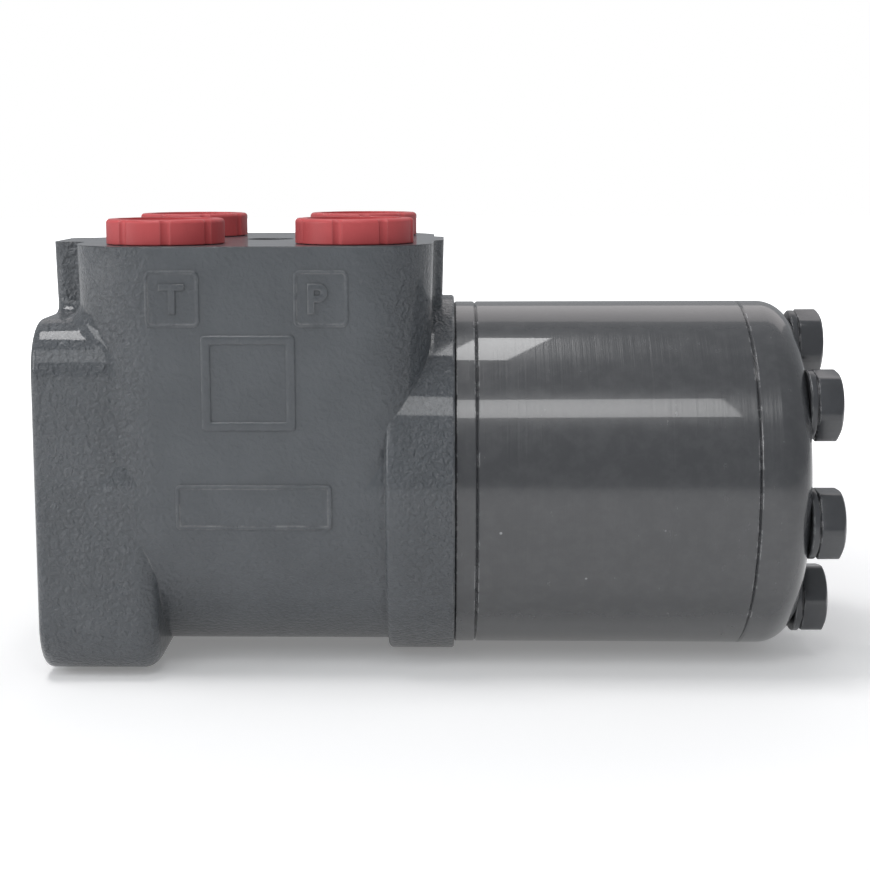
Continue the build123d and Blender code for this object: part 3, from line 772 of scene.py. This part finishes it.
class BlockFace:
    """Lays flat outlines onto a long face of the cast block."""

    def __init__(self, side: Side) -> None:
        """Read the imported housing's surface."""
        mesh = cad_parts["housing"].data
        points = [vertex.co.copy() for vertex in mesh.vertices]
        self.tree = BVHTree.FromPolygons(points, [tuple(face.vertices) for face in mesh.polygons])
        self.side = side

    def lay(self, along: float, up: float, height: float) -> Vector:
        """Point at a height above the skin.

        Args:
            along: X of the point in metres.
            up: Z of the point in metres.
            height: Distance outwards from the skin.

        Returns:
            The point in the shared frame.
        """
        way = self.side.value
        hit, _, _, _ = self.tree.ray_cast(Vector((along, way * 0.2, up)), Vector((0, -way, 0)))
        return Vector((along, hit.y + way * height, up))

    def place(self, points: Iterable[bmesh.types.BMVert], centre: tuple[float, float]) -> None:
        """Move points drawn as (right, up, height) onto the face around a centre."""
        for point in points:
            right, up, height = point.co
            point.co = self.lay(centre[0] - self.side.value * right, centre[1] + up, height)


@dataclass
class RaisedFrame:
    """A cast rib around a rounded rectangle, with an optional low pad inside."""

    width: float
    height: float
    corner: float
    rib_width: float
    rib_height: float
    pad_height: float = 0.0
    sink: float = 0.6 * MM
    corner_least: float = 0.2 * MM
    corner_steps: int = 6
    side_steps: int = 14

    def path(self, inset: float) -> list[tuple[float, float]]:
        """Points around the rectangle, moved inwards by an inset."""

        def ray(quarters: float) -> Vector:
            """Unit vector at a number of quarter turns."""
            return Vector((math.cos(math.pi / 2 * quarters), math.sin(math.pi / 2 * quarters)))

        half_w, half_h = self.width / 2 - inset, self.height / 2 - inset
        corner = max(self.corner - inset, self.corner_least)
        points: list[tuple[float, float]] = []
        signs = ((1, 1, 0), (-1, 1, 1), (-1, -1, 2), (1, -1, 3))
        for index, (right, up, quarter) in enumerate(signs):
            centre = Vector((right * (half_w - corner), up * (half_h - corner)))
            arc = [
                centre + corner * ray(quarter + step / self.corner_steps)
                for step in range(self.corner_steps + 1)
            ]
            points += [tuple(point) for point in arc]
            after = signs[(index + 1) % 4]
            next_centre = Vector((after[0] * (half_w - corner), after[1] * (half_h - corner)))
            goal = next_centre + corner * ray(quarter + 1)
            last = arc[-1]
            points += [tuple(last.lerp(goal, step / self.side_steps)) for step in range(1, self.side_steps)]
        return points

    def draw(self) -> bmesh.types.BMesh:
        """Draw the rib, and the pad, flat around the origin."""
        shape = bmesh.new()
        section = (
            (0.0, -self.sink),
            (0.02, 0.45 * self.rib_height),
            (0.10, 0.90 * self.rib_height),
            (0.20, self.rib_height),
            (0.80, self.rib_height),
            (0.90, 0.90 * self.rib_height),
            (0.98, 0.45 * self.rib_height),
            (1.0, -self.sink),
        )
        loops = [
            [shape.verts.new((*point, height)) for point in self.path(share * self.rib_width)]
            for share, height in section
        ]
        join_loops(shape, loops + loops[:1])
        if self.pad_height > 0:
            self._pad(shape)
        return shape

    def _pad(self, shape: bmesh.types.BMesh) -> None:
        """Add the low pad inside the rib as a closed slab of strips."""
        steps_w, steps_h = 24, 10
        half_w = self.width / 2 - 0.8 * self.rib_width
        half_h = self.height / 2 - 0.8 * self.rib_width
        levels = (-self.sink, self.pad_height)
        grid = [
            [
                [
                    shape.verts.new((half_w * (2 * i / steps_w - 1), half_h * (2 * j / steps_h - 1), level))
                    for j in range(steps_h + 1)
                ]
                for i in range(steps_w + 1)
            ]
            for level in levels
        ]
        for level, rows in enumerate(grid):
            for i in range(steps_w):
                for j in range(steps_h):
                    face = (rows[i][j], rows[i + 1][j], rows[i + 1][j + 1], rows[i][j + 1])
                    shape.faces.new(face if level else tuple(reversed(face)))
        rim = [(i, 0) for i in range(steps_w)] + [(steps_w, j) for j in range(steps_h)]
        rim += [(i, steps_h) for i in range(steps_w, 0, -1)] + [(0, j) for j in range(steps_h, 0, -1)]
        for (i, j), (k, m) in zip(rim, rim[1:] + rim[:1]):
            shape.faces.new((grid[0][i][j], grid[0][k][m], grid[1][k][m], grid[1][i][j]))


@dataclass
class CastHousing:
    """The painted casting with its raised marks and threaded holes."""

    finishes: FinishStore
    mark_front_x: float = 34.8 * MM
    mark_rear_x: float = 69.7 * MM
    mark_z: float = 48.0 * MM
    mark_frame: RaisedFrame = field(
        default_factory=lambda: RaisedFrame(12.9 * MM, 13.4 * MM, 1.6 * MM, 0.75 * MM, 0.26 * MM, 0.08 * MM)
    )
    badge_x: float = 52.4 * MM
    badge_z: float = 28.1 * MM
    badge_frame: RaisedFrame = field(
        default_factory=lambda: RaisedFrame(22.3 * MM, 22.8 * MM, 0.9 * MM, 2.3 * MM, 0.42 * MM)
    )
    plate_x: float = 53.2 * MM
    plate_z: float = -1.7 * MM
    name_frame: RaisedFrame = field(
        default_factory=lambda: RaisedFrame(37.3 * MM, 11.0 * MM, 1.0 * MM, 0.95 * MM, 0.42 * MM, 0.16 * MM)
    )
    letter_size: float = 9.4 * MM
    letter_bold: float = 0.26 * MM
    letter_height: float = 0.42 * MM
    letter_bevel: float = 0.12 * MM
    mount_circle: float = 82.55 * MM
    mount_holes: int = 4
    mount_radius: float = 4.3 * MM
    mount_depth: float = 15.0 * MM
    mount_pitch: float = 1.5 * MM
    mount_ridge: float = 0.42 * MM
    mount_station: float = 0.8 * MM
    mount_start: float = math.pi / 4
    port_radius: float = 9.5 * MM
    port_pitch: float = 1.814 * MM
    port_depth: float = 13.5 * MM
    port_ridge: float = 0.22 * MM
    port_lead: float = 1.6 * MM
    port_rim_z: float = 59.7 * MM
    port_spread: tuple[float, float] = (45.8 * MM, 52.0 * MM)
    port_centre: tuple[float, float] = (53.9 * MM, 0.0)

    def build(self) -> None:
        """Dress the casting and add its marks and threads."""
        self.finishes.dress(Slot.CASTING, "housing")
        front, rear = BlockFace(Side.FRONT), BlockFace(Side.REAR)
        marks = (
            ("t", front, self.mark_front_x),
            ("p", front, self.mark_rear_x),
            ("l", rear, self.mark_front_x),
            ("r", rear, self.mark_rear_x),
        )
        for letter, face, along in marks:
            self._frame(f"port_mark_frame_{letter}", self.mark_frame, face, (along, self.mark_z))
            self._letter(letter, face, (along, self.mark_z))
        self._frame("badge_frame", self.badge_frame, front, (self.badge_x, self.badge_z))
        self._frame("name_frame", self.name_frame, front, (self.plate_x, self.plate_z))
        self._mount_threads()
        self._port_threads()

    def _frame(self, name: str, raised: RaisedFrame, face: BlockFace, centre: tuple[float, float]) -> None:
        """Lay one raised frame onto a face."""
        shape = raised.draw()
        face.place(shape.verts, centre)
        piece = mesh_object(name, shape, FRAME_SHARP_DEGREES)
        settle(piece, self.finishes.by_slot[Slot.CASTING], Slot.CASTING, "unit")

    def _letter(self, letter: str, face: BlockFace, centre: tuple[float, float]) -> None:
        """Lay one raised port letter onto a face."""
        text = bpy.data.curves.new(f"letter_{letter}", "FONT")
        text.body = letter.upper()
        text.size = self.letter_size
        text.offset = self.letter_bold
        text.extrude = self.letter_height
        text.bevel_depth = self.letter_bevel
        text.bevel_resolution = 2
        text.align_x, text.align_y = "CENTER", "CENTER"
        carrier = add_object(text.name, text)
        evaluated = carrier.evaluated_get(bpy.context.evaluated_depsgraph_get())
        flat = bpy.data.meshes.new_from_object(evaluated)
        bpy.data.objects.remove(carrier)
        shape = bmesh.new()
        shape.from_mesh(flat)
        middle = sum((vert.co for vert in shape.verts), Vector()) / len(shape.verts)
        low = min(vert.co.y for vert in shape.verts)
        high = max(vert.co.y for vert in shape.verts)
        for vert in shape.verts:
            vert.co.x -= middle.x
            vert.co.y -= (low + high) / 2
        face.place(shape.verts, centre)
        piece = mesh_object(f"port_letter_{letter}", shape, LETTER_SHARP_DEGREES)
        settle(piece, self.finishes.by_slot[Slot.CASTING], Slot.CASTING, "unit")

    @staticmethod
    def _ridge(tree: GeometryTree) -> bpy.types.NodeSocket:
        """Helical ridge along +X from named radius, pitch, length and ridge height."""
        radius, pitch = tree.input("Radius"), tree.input("Pitch")
        length, crest = tree.input("Length"), tree.input("Ridge Height")
        turns = tree.maths("DIVIDE", length, pitch)
        helix = tree.node(
            "GeometryNodeCurveSpiral",
            {},
            {
                "Resolution": 40,
                "Rotations": turns,
                "Start Radius": radius,
                "End Radius": radius,
                "Height": length,
            },
        )
        profile = tree.node(
            "GeometryNodeCurvePrimitiveCircle", {"mode": "RADIUS"}, {"Resolution": 4, "Radius": crest}
        )
        tube = tree.node(
            "GeometryNodeCurveToMesh",
            {},
            {"Curve": helix.outputs[0], "Profile Curve": profile.outputs[0], "Fill Caps": True},
        )
        turned = tree.node(
            "GeometryNodeTransform", {}, {"Geometry": tube.outputs[0], "Rotation": (0.0, math.pi / 2, 0.0)}
        )
        return turned.outputs[0]

    def _mount_threads(self) -> None:
        """Thread ridges in the mounting holes."""
        tree = GeometryTree("mount_threads")
        ridge = self._ridge(tree)
        count, circle = tree.input("Count", "NodeSocketInt"), tree.input("Circle Radius")
        station, start = tree.input("Station"), tree.input("First Angle")
        tree.close(tree.ring_of(ridge, count, circle, station, start))
        piece = tree.bake(
            "mount_thread_ridges",
            self.finishes.by_slot[Slot.CASTING],
            {
                "Radius": self.mount_radius,
                "Pitch": self.mount_pitch,
                "Length": self.mount_depth,
                "Ridge Height": self.mount_ridge,
                "Count": self.mount_holes,
                "Circle Radius": self.mount_circle / 2,
                "Station": self.mount_station,
                "First Angle": self.mount_start,
            },
        )
        settle(piece, self.finishes.by_slot[Slot.CASTING], Slot.CASTING, "unit")

    def _port_threads(self) -> None:
        """Thread ridges in the four hose ports."""
        tree = GeometryTree("port_threads")
        ridge = self._ridge(tree)
        span_x, span_y = tree.input("Spread Along"), tree.input("Spread Across")
        centre = tree.input("Centre", "NodeSocketVector")
        grid = tree.node(
            "GeometryNodeMeshGrid", {}, {"Size X": span_x, "Size Y": span_y, "Vertices X": 2, "Vertices Y": 2}
        )
        moved = tree.node("GeometryNodeTransform", {}, {"Geometry": grid.outputs[0], "Translation": centre})
        copies = tree.node(
            "GeometryNodeInstanceOnPoints",
            {},
            {"Points": moved.outputs[0], "Instance": ridge, "Rotation": (0.0, math.pi / 2, 0.0)},
        )
        tree.close(copies.outputs[0])
        piece = tree.bake(
            "port_thread_ridges",
            self.finishes.by_slot[Slot.GROUND],
            {
                "Radius": self.port_radius,
                "Pitch": self.port_pitch,
                "Length": self.port_depth,
                "Ridge Height": self.port_ridge,
                "Spread Along": self.port_spread[0],
                "Spread Across": self.port_spread[1],
                "Centre": (*self.port_centre, self.port_rim_z - self.port_lead),
            },
        )
        settle(piece, self.finishes.by_slot[Slot.GROUND], Slot.GROUND, "unit")


# ---- gear set and end cover -------------------------------------------------------------------


@dataclass
class HexBolt:
    """Outline of one cover bolt, drawn along +X with its head's seat at the origin."""

    flats: float = 16.0 * MM
    head: float = 6.4 * MM
    washer_face: float = 0.35 * MM
    crown_slope: float = math.tan(math.radians(27))
    crown_start: float = 7.3 * MM
    corner_round: float = 0.28 * MM
    shank_radius: float = 4.9 * MM
    grip: float = 36.0 * MM
    point_chamfer: float = 0.8 * MM
    end_radius: float = 0.4 * MM
    seat_edge: float = 0.18 * MM
    rim_edge: float = 0.14 * MM
    rim_inset: float = 0.12 * MM
    rim_drop: float = 0.02 * MM
    crown_lip: tuple[float, float] = (0.1 * MM, 0.3 * MM)
    crown_rise: tuple[float, float] = (0.06 * MM, 0.08 * MM)
    flat_share: float = 0.55
    washer_face_share: float = 0.97
    spokes: int = 72

    def hex_reach(self, angle: float) -> float:
        """Distance from the axis to the hexagon's side at an angle, with eased corners."""
        folded = (angle + math.pi / 6) % (math.pi / 3) - math.pi / 6
        corner = self.flats / 2 / math.cos(math.pi / 6)
        return min(self.flats / 2 / math.cos(folded), corner - self.corner_round)

    def draw(self) -> bmesh.types.BMesh:
        """Draw the shank and the crowned head."""
        shape = bmesh.new()
        rings: list[list[bmesh.types.BMVert]] = []

        def ring(reach: Any, along: Any) -> None:
            """Add one loop from functions of the angle."""
            made = []
            for step in range(self.spokes):
                angle = FULL_TURN * step / self.spokes
                radius = reach(angle)
                point = (along(radius), radius * math.cos(angle), radius * math.sin(angle))
                made.append(shape.verts.new(point))
            rings.append(made)

        def crown(radius: float) -> float:
            """Height of the head's end at a radius."""
            return self.head - max(0.0, radius - self.crown_start) * self.crown_slope

        base = self.washer_face_share * self.flats / 2
        ring(lambda _: self.end_radius, lambda _: -self.grip)
        ring(lambda _: self.shank_radius - self.point_chamfer, lambda _: -self.grip)
        ring(lambda _: self.shank_radius, lambda _: -self.grip + self.point_chamfer)
        ring(lambda _: self.shank_radius, lambda _: 0.0)
        ring(lambda _: base, lambda _: 0.0)
        ring(lambda _: base, lambda _: self.washer_face)
        ring(lambda angle: self.hex_reach(angle) - self.seat_edge, lambda _: self.washer_face)
        ring(self.hex_reach, lambda _: self.washer_face + self.seat_edge)
        ring(self.hex_reach, lambda radius: crown(radius) - self.rim_edge)
        ring(
            lambda angle: self.hex_reach(angle) - self.rim_inset,
            lambda radius: crown(radius) - self.rim_drop,
        )
        ring(lambda _: self.crown_start + self.crown_lip[0], crown)
        ring(lambda _: self.crown_start - self.crown_lip[1], crown)
        ring(lambda _: self.flat_share * self.crown_start, lambda _: self.head + self.crown_rise[0])
        ring(lambda _: self.end_radius, lambda _: self.head + self.crown_rise[1])
        join_loops(shape, rings)
        shape.faces.new(rings[0][::-1])
        shape.faces.new(rings[-1])
        return shape


@dataclass
class Washer:
    """Outline of one plain washer under a bolt head, drawn along +X behind the seat."""

    outer: float = 8.6 * MM
    inner: float = 5.1 * MM
    thickness: float = 1.7 * MM
    edge: float = 0.3 * MM
    spokes: int = 56

    def draw(self) -> bmesh.types.BMesh:
        """Draw the ring as a turned section."""
        shape = bmesh.new()
        section = (
            (-self.thickness, self.inner),
            (-self.thickness, self.outer - self.edge),
            (-self.thickness + self.edge, self.outer),
            (-self.edge, self.outer),
            (-self.edge / 3, self.outer - self.edge / 3),
            (0.0, self.outer - self.edge),
            (0.0, self.inner),
        )
        loops = [
            [
                shape.verts.new(
                    (along, radius * math.cos(FULL_TURN * step / self.spokes),
                     radius * math.sin(FULL_TURN * step / self.spokes))
                )
                for step in range(self.spokes)
            ]
            for along, radius in section
        ]
        join_loops(shape, loops + loops[:1])
        return shape


@dataclass
class GearEnd:
    """Distributor plate, gear ring, rotor, cover and the bolts that hold them."""

    finishes: FinishStore
    bolt: HexBolt = field(default_factory=HexBolt)
    washer: Washer = field(default_factory=Washer)
    bolt_count: int = 7
    bolt_circle: float = 33.0 * MM
    first_bolt: float = math.pi / 2
    head_turn: float = math.radians(19.0)
    bolt_sharp: float = 32.0

    def build(self) -> None:
        """Dress the gear end and make its bolts and washers."""
        self.finishes.dress(Slot.MACHINED, "stator_ring", "distributor_plate", "end_cover")
        self.finishes.dress(Slot.GROUND, "rotor", "rotor_spacer")
        self.finishes.dress(Slot.RUBBER, "o_ring_front", "o_ring_middle", "o_ring_rear")
        low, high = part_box("cover_bolts")
        seat = high[0] - self.bolt.head
        self.bolt.grip = seat - low[0]
        finish = self.finishes.by_slot[Slot.FASTENER]
        for name, outline, node, turn in (
            ("cover_bolt_set", self.bolt, "cover_bolts", self.head_turn),
            ("cover_washer_set", self.washer, "bolt_washers", 0.0),
        ):
            template = mesh_object(f"{name}_one", outline.draw(), self.bolt_sharp)
            tree = self._ring_tree(name)
            piece = tree.bake(
                name,
                finish,
                {
                    "Template": template,
                    "Count": self.bolt_count,
                    "Circle Radius": self.bolt_circle,
                    "Station": seat,
                    "First Angle": self.first_bolt,
                    "Own Turn": turn,
                },
            )
            bpy.data.objects.remove(template)
            settle(piece, finish, Slot.FASTENER, "unit", node)

    @staticmethod
    def _ring_tree(name: str) -> GeometryTree:
        """Tree that repeats a template object around the axis."""
        tree = GeometryTree(name)
        template = tree.input("Template", "NodeSocketObject")
        count, circle = tree.input("Count", "NodeSocketInt"), tree.input("Circle Radius")
        station, start = tree.input("Station"), tree.input("First Angle")
        own = tree.input("Own Turn")
        shape = tree.node("GeometryNodeObjectInfo", {}, {"Object": template})
        spin = tree.node("ShaderNodeCombineXYZ", {}, {0: own})
        turned = tree.node(
            "GeometryNodeTransform", {}, {"Geometry": shape.outputs["Geometry"], "Rotation": spin.outputs[0]}
        )
        tree.close(tree.ring_of(turned.outputs[0], count, circle, station, start))
        return tree


# ---- control set, seals and caps --------------------------------------------------------------


@dataclass
class ControlSet:
    """Sleeve, spool, springs, bearing, seals, cardan shaft and check valve inside the housing."""

    finishes: FinishStore

    def build(self) -> None:
        """Dress the inner parts."""
        self.finishes.dress(Slot.GROUND, "control_sleeve", "control_spool")
        self.finishes.dress(Slot.HARDENED, "bearing_race_inner", "bearing_race_outer", "needle_cage")
        self.finishes.dress(Slot.HARDENED, "cross_pin", "cardan_shaft")
        self.finishes.dress(Slot.SPRING, "centering_springs", "spring_retaining_ring")
        self.finishes.dress(Slot.RUBBER, "dust_seal", "shaft_seal")
        self.finishes.dress(Slot.PLATED, "check_ball", "ball_stop_pin", "check_bush")
        log.info("control set dressed")


@dataclass
class PortCaps:
    """Red plastic plugs in the four ports."""

    finishes: FinishStore
    ports: tuple[str, ...] = ("t", "p", "l", "r")

    def build(self) -> None:
        """Dress the caps."""
        self.finishes.dress(Slot.CAP, *(f"port_cap_{port}" for port in self.ports))
        log.info("port caps dressed")


# ---- studio -----------------------------------------------------------------------------------


@dataclass
class Lamp:
    """One soft rectangular studio lamp."""

    name: str
    place: Vector
    aim: Vector
    width: float
    depth: float
    power: float
    tint: Colour

    def build(self) -> None:
        """Hang the lamp."""
        data = bpy.data.lights.new(self.name, "AREA")
        data.shape = "RECTANGLE"
        data.size, data.size_y = self.width, self.depth
        data.energy = self.power
        data.color = self.tint
        lamp = add_object(self.name, data)
        lamp.location = self.place
        lamp.rotation_euler = (self.aim - self.place).to_track_quat("-Z", "Y").to_euler()


@dataclass
class Studio:
    """Floor, lamps, world and camera."""

    focal_pixels: float = 1798.5
    image_side: float = 870.0
    sensor: float = 36.0
    distance: float = 462.55 * MM
    eye_height: float = 78.24 * MM
    tilt: float = math.radians(8.468)
    yaw: float = math.radians(2.047)
    roll: float = math.radians(-0.281)
    aim_x: float = 80.858 * MM
    centre_column: float = 376.16
    clip_start: float = 0.01
    floor_half: float = 4.0
    floor_lift: float = 0.20
    floor_tint: Colour = (0.93, 0.93, 0.93)
    floor_spread: tuple[float, float] = (0.15, 0.75)
    room_tint: Colour = (0.93, 0.96, 1.0)
    room_strength: float = 0.36
    middle: Vector = field(default_factory=lambda: Vector((0.09, 0.0, 0.0)))
    ring: Vector = field(default_factory=lambda: Vector((0.125, -0.02, 0.03)))

    def build(self) -> None:
        """Set up the whole studio."""
        self._floor()
        self._world()
        self._lamps()
        self._camera()

    def _pale(self, name: str, lift: float) -> bpy.types.Material:
        """Pale matt surface that glows a little for the camera, more so far out, and in reflections."""
        bench = ShaderBench(name)
        rays = bench.node("ShaderNodeLightPath")
        direct = Wire(bench, rays.outputs["Is Camera Ray"])
        mirrored = Wire(bench, rays.outputs["Is Glossy Ray"])
        matt = bench.node("ShaderNodeBsdfDiffuse", {}, {"Color": (*self.floor_tint, 1.0)})
        along, across, _ = bench.axes()
        spread = (along * along + across * across) ** 0.5
        strength = direct * (lift + spread.fade(*self.floor_spread)) + mirrored * lift
        glow = bench.node("ShaderNodeEmission", {}, {"Strength": strength})
        both = bench.node("ShaderNodeAddShader")
        bench.tree.links.new(matt.outputs[0], both.inputs[0])
        bench.tree.links.new(glow.outputs[0], both.inputs[1])
        bench.node("ShaderNodeOutputMaterial", {}, {"Surface": Wire(bench, both.outputs[0])})
        return bench.material

    def _floor(self) -> None:
        """Pale floor under the unit, wide enough to fill the view behind it."""
        low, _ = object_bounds()
        half = self.floor_half
        shape = bmesh.new()
        corners = [(-half, -half, low[2]), (half, -half, low[2]), (half, half, low[2]), (-half, half, low[2])]
        shape.faces.new([shape.verts.new(corner) for corner in corners])
        floor = mesh_object("studio_floor", shape)
        floor.data.materials.append(self._pale("pale_floor", self.floor_lift))
        floor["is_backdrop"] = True

    def _world(self) -> None:
        """White surroundings for the camera and soft grey light for the unit."""
        world = bpy.data.worlds.new("soft_room")
        bpy.context.scene.world = world
        world.use_nodes = True
        tree = world.node_tree
        tree.nodes.clear()
        rays = tree.nodes.new("ShaderNodeLightPath")
        dim = tree.nodes.new("ShaderNodeBackground")
        dim.inputs["Color"].default_value = (*self.room_tint, 1.0)
        dim.inputs["Strength"].default_value = self.room_strength
        white = tree.nodes.new("ShaderNodeBackground")
        white.inputs["Color"].default_value = (1.0, 1.0, 1.0, 1.0)
        white.inputs["Strength"].default_value = 1.0
        choice = tree.nodes.new("ShaderNodeMixShader")
        end = tree.nodes.new("ShaderNodeOutputWorld")
        tree.links.new(rays.outputs["Is Camera Ray"], choice.inputs[0])
        tree.links.new(dim.outputs[0], choice.inputs[1])
        tree.links.new(white.outputs[0], choice.inputs[2])
        tree.links.new(choice.outputs[0], end.inputs[0])

    def _lamps(self) -> None:
        """Two overhead lights, a front strip, a rear top light and two fills."""
        middle, ring = self.middle, self.ring
        white = (1.0, 1.0, 1.0)
        lamps = (
            Lamp("top_strip", Vector((-0.14, -0.12, 0.90)), middle, 0.44, 0.20, 2.8, (1.0, 0.985, 0.985)),
            Lamp("overhead_spot", Vector((0.137, 0.10, 0.93)), ring, 0.055, 0.34, 0.42, white),
            Lamp("front_strip", Vector((0.18, -0.60, 0.71)), ring, 0.26, 0.20, 0.75, white),
            Lamp("rear_top", Vector((0.15, 1.05, 0.85)), middle, 1.6, 0.7, 2.0, (1.0, 0.93, 0.92)),
            Lamp("front_fill", Vector((-0.35, -1.05, 0.80)), middle, 0.7, 0.6, 2.6, (0.98, 0.99, 1.0)),
            Lamp("left_fill", Vector((-1.1, -0.35, 0.35)), middle, 0.6, 0.6, 4.2, white),
        )
        for lamp in lamps:
            lamp.build()

    def _camera(self) -> None:
        """Camera beside the unit, a little above its axis."""
        data = bpy.data.cameras.new("studio_camera")
        data.sensor_width = self.sensor
        data.lens = self.focal_pixels * self.sensor / self.image_side
        data.shift_x = (self.image_side / 2 - self.centre_column) / self.image_side
        data.clip_start = self.clip_start
        camera = add_object("studio_camera", data)
        sin_y, cos_y = math.sin(self.yaw), math.cos(self.yaw)
        sin_t, cos_t = math.sin(self.tilt), math.cos(self.tilt)
        forward = Vector((-sin_y * cos_t, cos_y * cos_t, -sin_t))
        right = Vector((cos_y, sin_y, 0.0))
        above = right.cross(forward)
        basis = Matrix((right, above, -forward)).transposed()
        spin = Matrix.Rotation(self.roll, 3, "Z")
        place = Vector((self.aim_x + self.distance * sin_y, -self.distance * cos_y, self.eye_height))
        camera.matrix_world = Matrix.Translation(place) @ (basis @ spin).to_4x4()
        bpy.context.scene.camera = camera
        bpy.context.scene.view_settings.view_transform = "Standard"


def main() -> None:
    """Build every sub-assembly in order, then the studio."""
    logging.basicConfig(level=logging.INFO, format="%(name)s %(message)s")
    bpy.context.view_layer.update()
    finishes = FinishStore()
    CastHousing(finishes).build()
    GearEnd(finishes).build()
    ControlSet(finishes).build()
    PortCaps(finishes).build()
    Studio().build()


if __name__ == "__main__":
    main()
